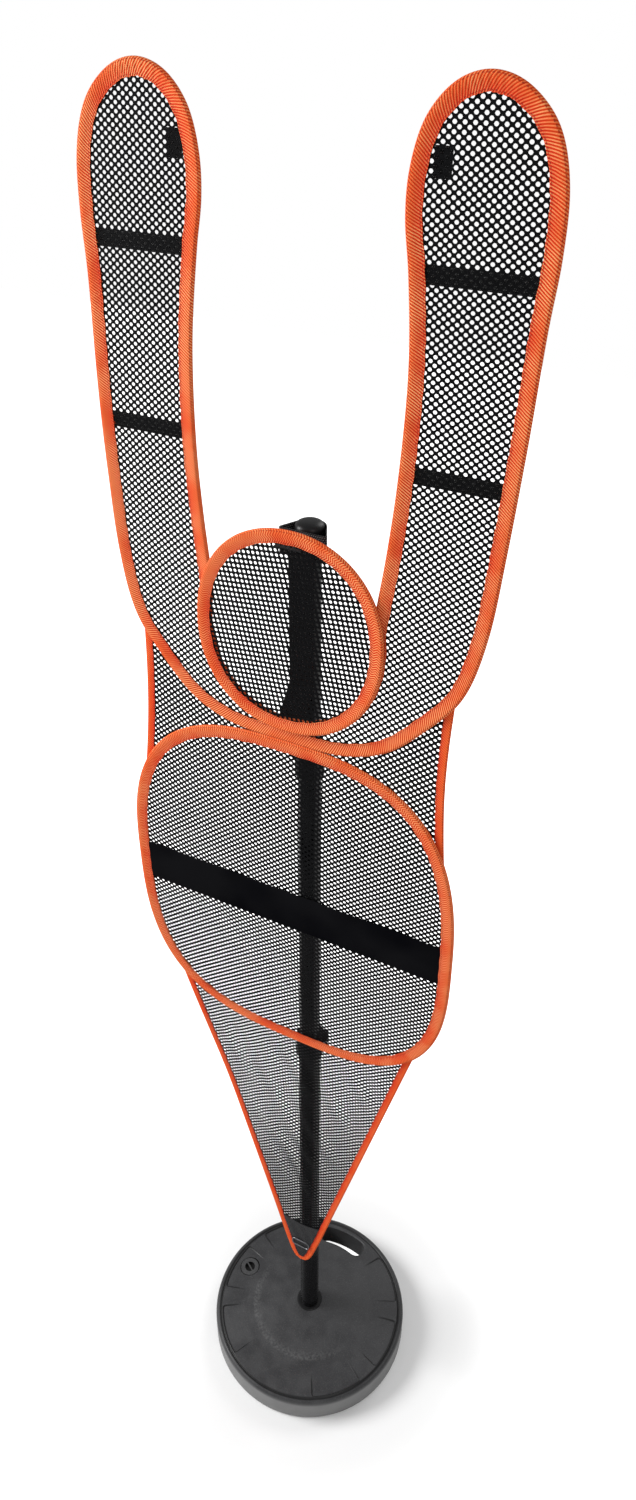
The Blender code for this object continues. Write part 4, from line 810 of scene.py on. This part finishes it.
for name, mask, ripple in (("belly_mesh_upper", inBelly & isHigh, flatRipple),
                           ("belly_mesh_lower", inBelly & ~isHigh, flatRipple),
                           ("chest_mesh", ~inBelly & isHigh, flatRipple),
                           ("tail_mesh", ~inBelly & ~isHigh, tailRipple)):
    mine = torsoCells[mask]
    area = len(mine) * (knit["pitch"] * knit["rise"] / 2)
    size = tuple(float(value) for value in mine.max(0) - mine.min(0) + knit["pitch"])
    if area < knit["sparse"] * size[0] * size[1]:
        size = (area / knit["sparseFill"] / size[1], size[1])
    knitPanel(name, mine, 0.0, netY, ripple, knit["bodyHole"], "body_net")
print("mesh panels ready")

# Webbing: belt, straps, patches and loops. The bend and the half band are heights above the shoulder's line
webbing = {"thick": 0.0014, "beltThick": 0.0011, "spineWidth": 0.038, "spineY": -0.0617, "bend": 0.0565,
           "halfBand": 0.0095, "round": 0.007, "sleeveRadius": 0.0207, "tailRadius": 0.02025,
           "loopRound": 0.0045, "step": 0.0012, "beltWobble": 0.0005, "wobble": 0.0002}


# Flat strip with round edges: half a circle at each side and straight faces between them
def flatSection(width, thick):
    arc = np.linspace(-np.pi / 2, np.pi / 2, 5)
    right = np.stack([width / 2 - thick / 2 + thick / 2 * np.cos(arc), thick / 2 * np.sin(arc)], 1)
    inner = np.linspace(width / 2 - thick / 2, -width / 2 + thick / 2, 6)[1:-1]
    top = np.stack([inner, np.full(4, thick / 2)], 1)
    return np.vstack([right, top, -right, -top])


# A strip along a path; its face's direction is square to the path and to its width
def strip(name, path, side, width, thick, closed, finish, node, wobble=0.0):
    across = np.broadcast_to(np.asarray(side, float), path.shape)
    deep = np.cross(aheadOf(path, closed), across)
    deep /= np.linalg.norm(deep, axis=1, keepdims=True)
    along = runOf(path)
    moved = path + deep * (wobble * np.sin(along * 71 + 2 * np.sin(along * 23)))[:, None]
    return dress(sweep(name, moved, across, deep, flatSection(width, thick), closed), finish, "figure", node)


# A level strip that fills its node's box from side to side and from foot to top
def levelStrip(name, node, y, thick, finish, count, wobble):
    low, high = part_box(node)
    length, height = high.x - low.x, high.z - low.z
    line = np.stack([np.linspace(low.x, high.x, count), np.full(count, middleOf(node).z)], 1)
    piece = strip(name, upright(line, y), (0, 0, 1), height, thick, False, finish, node, wobble)
    bowed(piece)


levelStrip("belt", "belly_belt", bodyY, webbing["beltThick"], "belt", 140, webbing["beltWobble"])
for spot in ("lower_left", "lower_right", "upper_left", "upper_right"):
    levelStrip("arm_webbing_" + spot, "arm_strap_" + spot, strapY, webbing["thick"], "lattice", 60,
               webbing["wobble"])
for side in ("left", "right"):
    levelStrip("tip_tab_" + side, "tip_patch_" + side, strapY, webbing["thick"], "webbing", 12, 0.0)


# An evenly stepped line whose corners are rounded: each point is the mean of those within a reach of it
def eased(path, reach, closed):
    even = evenPath(np.asarray(path, float), webbing["step"], closed)
    count = max(1, round(reach / webbing["step"]))
    if closed:
        padded = np.vstack([even[-count:], even, even[:count]])
    else:
        padded = np.vstack([np.repeat(even[:1], count, 0), even, np.repeat(even[-1:], count, 0)])
    kernel = np.ones(2 * count + 1) / (2 * count + 1)
    return np.stack([np.convolve(padded[:, k], kernel, "valid") for k in (0, 1)], 1)


# Straight across the front, then along both tangents to a circle round the pole and round its back
def loopLine(halfWidth, front, radius):
    touch = math.atan2(front, halfWidth) + math.acos(radius / math.hypot(halfWidth, front))
    turn = np.linspace(touch, math.pi - touch, 60)
    return np.vstack([[(-halfWidth, front), (halfWidth, front)],
                      np.stack([radius * np.cos(turn), radius * np.sin(turn)], 1)])


# A level loop that fills its node's box in front and lies against the pole's radius behind
def loopStrap(name, node, radius):
    low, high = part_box(node)
    half = webbing["thick"] / 2
    line = eased(loopLine(high.x - half, low.y + half, radius + half), webbing["loopRound"], True)
    path = np.column_stack([line, np.full(len(line), middleOf(node).z)])
    obj = strip(name, path, (0, 0, 1), high.z - low.z, webbing["thick"], True, "hem", node)
    lengthOf(line)


loopStrap("sleeve_webbing", "head_sleeve", webbing["sleeveRadius"])
loopStrap("tail_webbing", "tail_strap", webbing["tailRadius"])

# Spine strap: up the front from the shoulder, back to the pole, up to the sleeve and forward over it
low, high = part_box("spine_strap")
half = webbing["thick"] / 2
spineRun = [(low.z, webbing["spineY"]), (shoulderZ + webbing["halfBand"], webbing["spineY"]),
            (shoulderZ + webbing["bend"], high.y - half), (high.z - half, high.y - half), (high.z - half, low.y)]
line = eased(spineRun, webbing["round"], False)
spine = strip("spine_webbing", np.stack([np.zeros(len(line)), line[:, 1], line[:, 0]], 1), (1, 0, 0),
              webbing["spineWidth"], webbing["thick"], False, "webbing", "spine_strap", webbing["wobble"])
lengthOf(line, False)

tab = {"inset": 0.0066, "sag": 0.008, "bulge": 0.0007, "least": 0.0006, "columns": 41, "rows": 50}


# Rows up the tail's tip, each as wide as the panel inside its binding, under a top edge that sags by a sine
def tailPatch():
    low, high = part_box("tail_patch")
    tall, wide = high.z - low.z, high.x
    u = np.linspace(-1, 1, tab["columns"])
    v = np.linspace(0, 1, tab["rows"])[:, None]
    lift = low.z + tall * v - tab["sag"] * np.sin(np.pi / 2 * (1 - np.abs(u))[None]) * v
    reach = np.interp(lift, tailHalf[1:, 1], tailHalf[1:, 0] - tab["inset"])
    across = np.clip(reach, tab["least"], wide) * u[None]
    bulge = tab["bulge"] * np.sin(across * 260 + lift * 90) * np.sin(np.pi * v)
    y = middleOf("tail_patch").y
    faces = [np.stack([across, y + side * webbing["thick"] / 2 + bulge, lift], -1) for side in (-1, 1)]
    grid = np.concatenate([faces[0], faces[1][:, ::-1]], 1)
    obj = gridPiece("tail_tab", grid, False, np.linspace(0, tall, tab["rows"]),
                    np.linspace(0, 4 * wide, 2 * tab["columns"] + 1), sharp["cloth"])
    dress(obj, "webbing", "figure", "tail_patch")


tailPatch()
print("webbing ready")

# Pole: open tubes with a broken edge, and a cap with a flattened dome on a short rim
tube = {"edge": 0.0003, "wall": 0.0012, "steps": 96}
for node, body in (("lower_tube", "base"), ("middle_tube", "middle_stage"), ("upper_tube", "upper_stage")):
    low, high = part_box(node)
    radius, edge, wall = high.x, tube["edge"], tube["wall"]
    profile = [(radius - edge, high.z), (radius, high.z - edge), (radius, low.z + edge), (radius - edge, low.z),
               (radius - wall, low.z), (radius - wall, high.z)]
    dress(turnedPiece(node + "_skin", profile, tube["steps"]), "paint", body, node)

# The rim, foot and underside are heights above the upper tube's top
cap = {"rim": 0.0033, "foot": 0.0007, "underside": 0.0003, "chamfer": 0.0005, "round": 2.7, "stem": 0.0140}
low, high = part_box("pole_cap")
capRim, capUnder = poleTop + cap["rim"], poleTop + cap["underside"]
capDome = [(high.x * share, capRim + (high.z - capRim) * (1 - share ** cap["round"]) ** (1 / cap["round"]))
           for share in np.linspace(0, 1, 26)]
capFoot = [(high.x, poleTop + cap["foot"]), (high.x - cap["chamfer"], capUnder), (cap["stem"], capUnder),
           (cap["stem"], low.z), (0.0, low.z)]
dress(turnedPiece("pole_cap_skin", capDome + capFoot, tube["steps"]), "plastic", "upper_stage", "pole_cap")

# Base: a turned block with recesses, a groove inside its rim and a cut hand slot
slot = {"radius": 0.1632, "half": 0.0186, "halfAngle": math.radians(12.5), "round": 0.0045, "drop": 0.0022,
        "cut": (-0.05, 0.15)}
farAway = 0.02  # distance given where the front and back have no recess


# Distance to a rounded wedge, negative inside it: past its side and past its outer arc, with round corners
def sectorGap(reach, turn):
    away = np.abs((turn + np.pi / 8) % (np.pi / 4) - np.pi / 8)
    beside = reach * (away - sector["half"]) + sector["corner"]
    beyond = reach - sector["outer"] + sector["corner"]
    outside = np.hypot(np.maximum(beside, 0), np.maximum(beyond, 0))
    gap = outside + np.minimum(np.maximum(beside, beyond), 0) - sector["corner"]
    return np.where(np.abs(np.cos(turn)) < math.sin(math.pi / 8), farAway, gap)


# Distance to the slot's edge, from its middle line: an arc behind the pole
def slotGap(reach, turn):
    away = np.clip(turn - np.pi / 2, -slot["halfAngle"], slot["halfAngle"]) + np.pi / 2
    x, y = slot["radius"] * np.cos(away), slot["radius"] * np.sin(away)
    return np.hypot(reach * np.cos(turn) - x, reach * np.sin(turn) - y) - slot["half"]


# A dome that falls with a power of its share, then a nearly flat margin; details are taken off it
def topHeight(reach, turn):
    share = np.clip((reach - base["collar"]) / (base["domeRadius"] - base["collar"]), 0, 1)
    fall = (base["domeRise"] - base["footRise"]) * share ** base["domePower"]
    dome = base["rimHeight"] + base["domeRise"] - fall
    flat = base["radius"] - base["rimRound"]
    margin = base["footRise"] * np.clip((flat - reach) / (flat - base["domeRadius"]), 0, 1) + base["rimHeight"]
    height = np.where(reach < base["domeRadius"], dome, margin)
    inside = np.clip(-sectorGap(reach, turn) / sector["wall"], 0, 1)
    deep = np.clip((reach - sector["inner"]) / (sector["outer"] - sector["inner"]), 0, 1)
    height = height - sector["depth"] * deep * inside ** 2 * (3 - 2 * inside)
    groove = np.exp(-((reach - base["grooveRadius"]) / base["grooveWidth"]) ** 2)
    height = height - base["grooveDepth"] * groove
    return height - slot["drop"] * (1 - np.clip(slotGap(reach, turn) / slot["round"], 0, 1)) ** 2


# Rings from the collar out and down to the bore; more columns stand at the recesses' sides
def baseSkin():
    rim, radius, top, foot = base["rimRound"], base["radius"], base["rimHeight"], base["footRound"]
    rings = ((base["collar"], 0.1320, 22), (0.1365, 0.1800, 17), (0.1815, radius - rim, 16))  # from, to, count
    reach = np.concatenate([np.linspace(*ring) for ring in rings])
    sides = [middle + side * (math.degrees(sector["half"]) + np.linspace(*sector["edge"]))
             for middle in sector["places"] for side in (-1, 1)]
    turn = np.radians(np.concatenate([np.arange(0, 360, base["turnStep"]), *sides])) % (2 * np.pi)
    turn = np.unique(np.round(turn, 5))[:, None]
    bend = np.linspace(0, np.pi / 2, 9)[1:]
    outer = np.array([(radius - rim + rim * math.sin(a), top - rim + rim * math.cos(a)) for a in bend]
                     + [(radius, level) for level in base["wallLevels"]]
                     + [(radius, foot), (radius - foot * 0.3, foot * 0.3), (radius - foot, 0.0),
                        (base["under"], 0.0), (base["collar"], 0.0), (base["collar"], base["bore"])])
    rows = np.concatenate([reach, outer[:, 0]])
    heights = np.concatenate([topHeight(*np.broadcast_arrays(reach[None], turn)),
                              np.broadcast_to(outer[:, 1], (len(turn), len(outer)))], 1)
    grid = np.stack([rows * np.cos(turn), rows * np.sin(turn), heights], -1)
    obj = gridPiece("base_skin", grid, True, np.arange(len(turn) + 1) * base["uvStep"],
                    np.arange(len(rows) + 1) * base["uvStep"], sharp["base"])
    high = plug["cutTop"]
    seat, hole = (turnedPiece(label, [(0.0, high), (wide, high), (wide, low), (0.0, low)], 64, plugSpot)
                  for label, wide, low in (("seat", plug["flange"] + plug["margin"], plug["seatLevel"]),
                                           ("hole", plug["stem"], plug["holeLevel"])))
    cut(obj, [slotCutter(), seat, hole])
    shade(obj.data, sharp["base"])
    dress(obj, "base", "base", "base_shell")


# A prism whose near and far edges have as many points each, so that its ends can be closed in pairs
def slotCutter():
    quarter = np.linspace(0, np.pi / 2, 10)
    angles = np.linspace(np.pi / 2 + slot["halfAngle"], np.pi / 2 - slot["halfAngle"], 30)
    edges = []
    for side in (-1, 1):
        edge = []
        for end, sign, bend in ((angles[0], 1, quarter), (angles[-1], -1, quarter[::-1])):
            out, along = np.array([np.cos(end), np.sin(end)]), sign * np.array([-np.sin(end), np.cos(end)])
            rounding = np.cos(bend)[:, None] * along + side * np.sin(bend)[:, None] * out
            edge.append(slot["radius"] * out + slot["half"] * rounding)
        middle = (slot["radius"] + side * slot["half"]) * np.stack([np.cos(angles), np.sin(angles)], 1)
        edges.append(np.vstack([edge[0][:-1], middle, edge[1][1:]]))
    ring = np.vstack([edges[0], edges[1][::-1]])
    grid = np.stack([np.column_stack([ring, np.full(len(ring), z)]) for z in slot["cut"]])
    cutter = gridPiece("slot_cutter", grid, False, np.arange(2), np.arange(len(ring) + 1), sharp["base"])
    weld(cutter, 1e-5)
    return cutter


baseSkin()
print("base ready")

# Carried-over nodes keep their shape and get a finish
carried = {"plug": ("filler_plug",), "ring": ("tail_ring",),
           "plastic": ("pole_collar", "middle_tube_bush", "upper_tube_bush", "lower_clamp_body",
                       "lower_clamp_lever", "chest_clamp_body", "chest_clamp_lever"),
           "zinc": ("lower_clamp_bolt", "lower_clamp_nut", "lower_clamp_pin", "chest_clamp_bolt",
                    "chest_clamp_nut", "chest_clamp_pin"),
           "spring": ("head_hoop", "arms_hoop", "belly_hoop"), "rubber": ("filler_seal",),
           "sand": ("sand_ballast",)}
for finish, nodes in carried.items():
    for node in nodes:
        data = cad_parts[node].data
        data.materials.clear()
        data.materials.append(finishes[finish])
print("pole and carried nodes ready")

# Camera, lamps and floor
view = {"lens": 26.52, "sensor": 36.0, "shift": (0.0057, -0.0362), "place": (0.597, -1.139, 2.487),
        "turn": (math.radians(56.71), 0.0, math.radians(27.68))}
camera = bpy.data.cameras.new("camera")
camera.lens, camera.sensor_width = view["lens"], view["sensor"]
camera.shift_x, camera.shift_y = view["shift"]
eye = bpy.data.objects.new("camera", camera)
eye.location, eye.rotation_euler = view["place"], view["turn"]
bpy.context.scene.collection.objects.link(eye)
bpy.context.scene.camera = eye

lamps = {"key": {"place": (-2.6, -1.1, 2.7), "aim": (0, 0, 0.9), "size": 1.8, "power": 120.0},
         "fill": {"place": (2.4, -2.4, 2.6), "aim": (0, 0, 1.2), "size": 2.4, "power": 22.0},
         "back": {"place": (0.8, 2.6, 3.4), "aim": (0, 0, 1.2), "size": 2.0, "power": 30.0}}
for name, look in lamps.items():
    data = bpy.data.lights.new(name + "_lamp", "AREA")
    data.shape, data.size, data.energy = "DISK", look["size"], look["power"]
    lamp = bpy.data.objects.new(name + "_lamp", data)
    bpy.context.scene.collection.objects.link(lamp)
    x, y, z = np.array(look["aim"]) - np.array(look["place"])
    lamp.location = look["place"]
    lamp.rotation_euler = (math.atan2(math.hypot(x, y), -z), 0, math.atan2(y, x) - math.pi / 2)

studio = {"light": 0.40, "seen": 1.0, "floor": (0.86, 0.86, 0.86), "floorRough": 0.9, "floorSize": 14,
          "floorLevel": -0.0002, "slotRange": (0.199, 0.196, 0.0, 0.95), "openRange": (0.28, 0.62, 0.08, 1.0)}
world = bpy.data.worlds.new("studio")
bpy.context.scene.world = world
world.use_nodes = True
rays = add(world, "LightPath").outputs
seen = calc(world, "ADD", rays["Is Camera Ray"], rays["Is Transmission Ray"], clamp=True)
level = add(world, "MapRange", {"Value": seen, "To Min": studio["light"], "To Max": studio["seen"]}).outputs[0]
world.node_tree.links.new(level, world.node_tree.nodes["Background"].inputs["Strength"])
world.node_tree.nodes["Background"].inputs["Color"].default_value = (1, 1, 1, 1)

# The floor shines for the camera only: faintly round the base, and brightly far from it and below its hand slot
floorMade = newFinish("floor_white", studio["floor"], studio["floorRough"])
floorMade.node_tree.nodes["Principled BSDF"].inputs["Emission Color"].default_value = (1, 1, 1, 1)
apart = add(floorMade, "VectorMath", {0: place(floorMade)}, operation="LENGTH").outputs["Value"]
glow = larger(floorMade, *(ramp(floorMade, apart, *studio[key]) for key in ("openRange", "slotRange")))
cameraRay = add(floorMade, "LightPath").outputs["Is Camera Ray"]
feed(floorMade, "Emission Strength", times(floorMade, cameraRay, glow))
bpy.ops.mesh.primitive_plane_add(size=studio["floorSize"])
floorPlane = bpy.context.object
floorPlane.name = "floor"
floorPlane.location.z = studio["floorLevel"]
floorPlane.data.materials.append(floorMade)
bpy.context.scene.view_settings.view_transform = "Standard"
print("camera, lamps and floor ready")
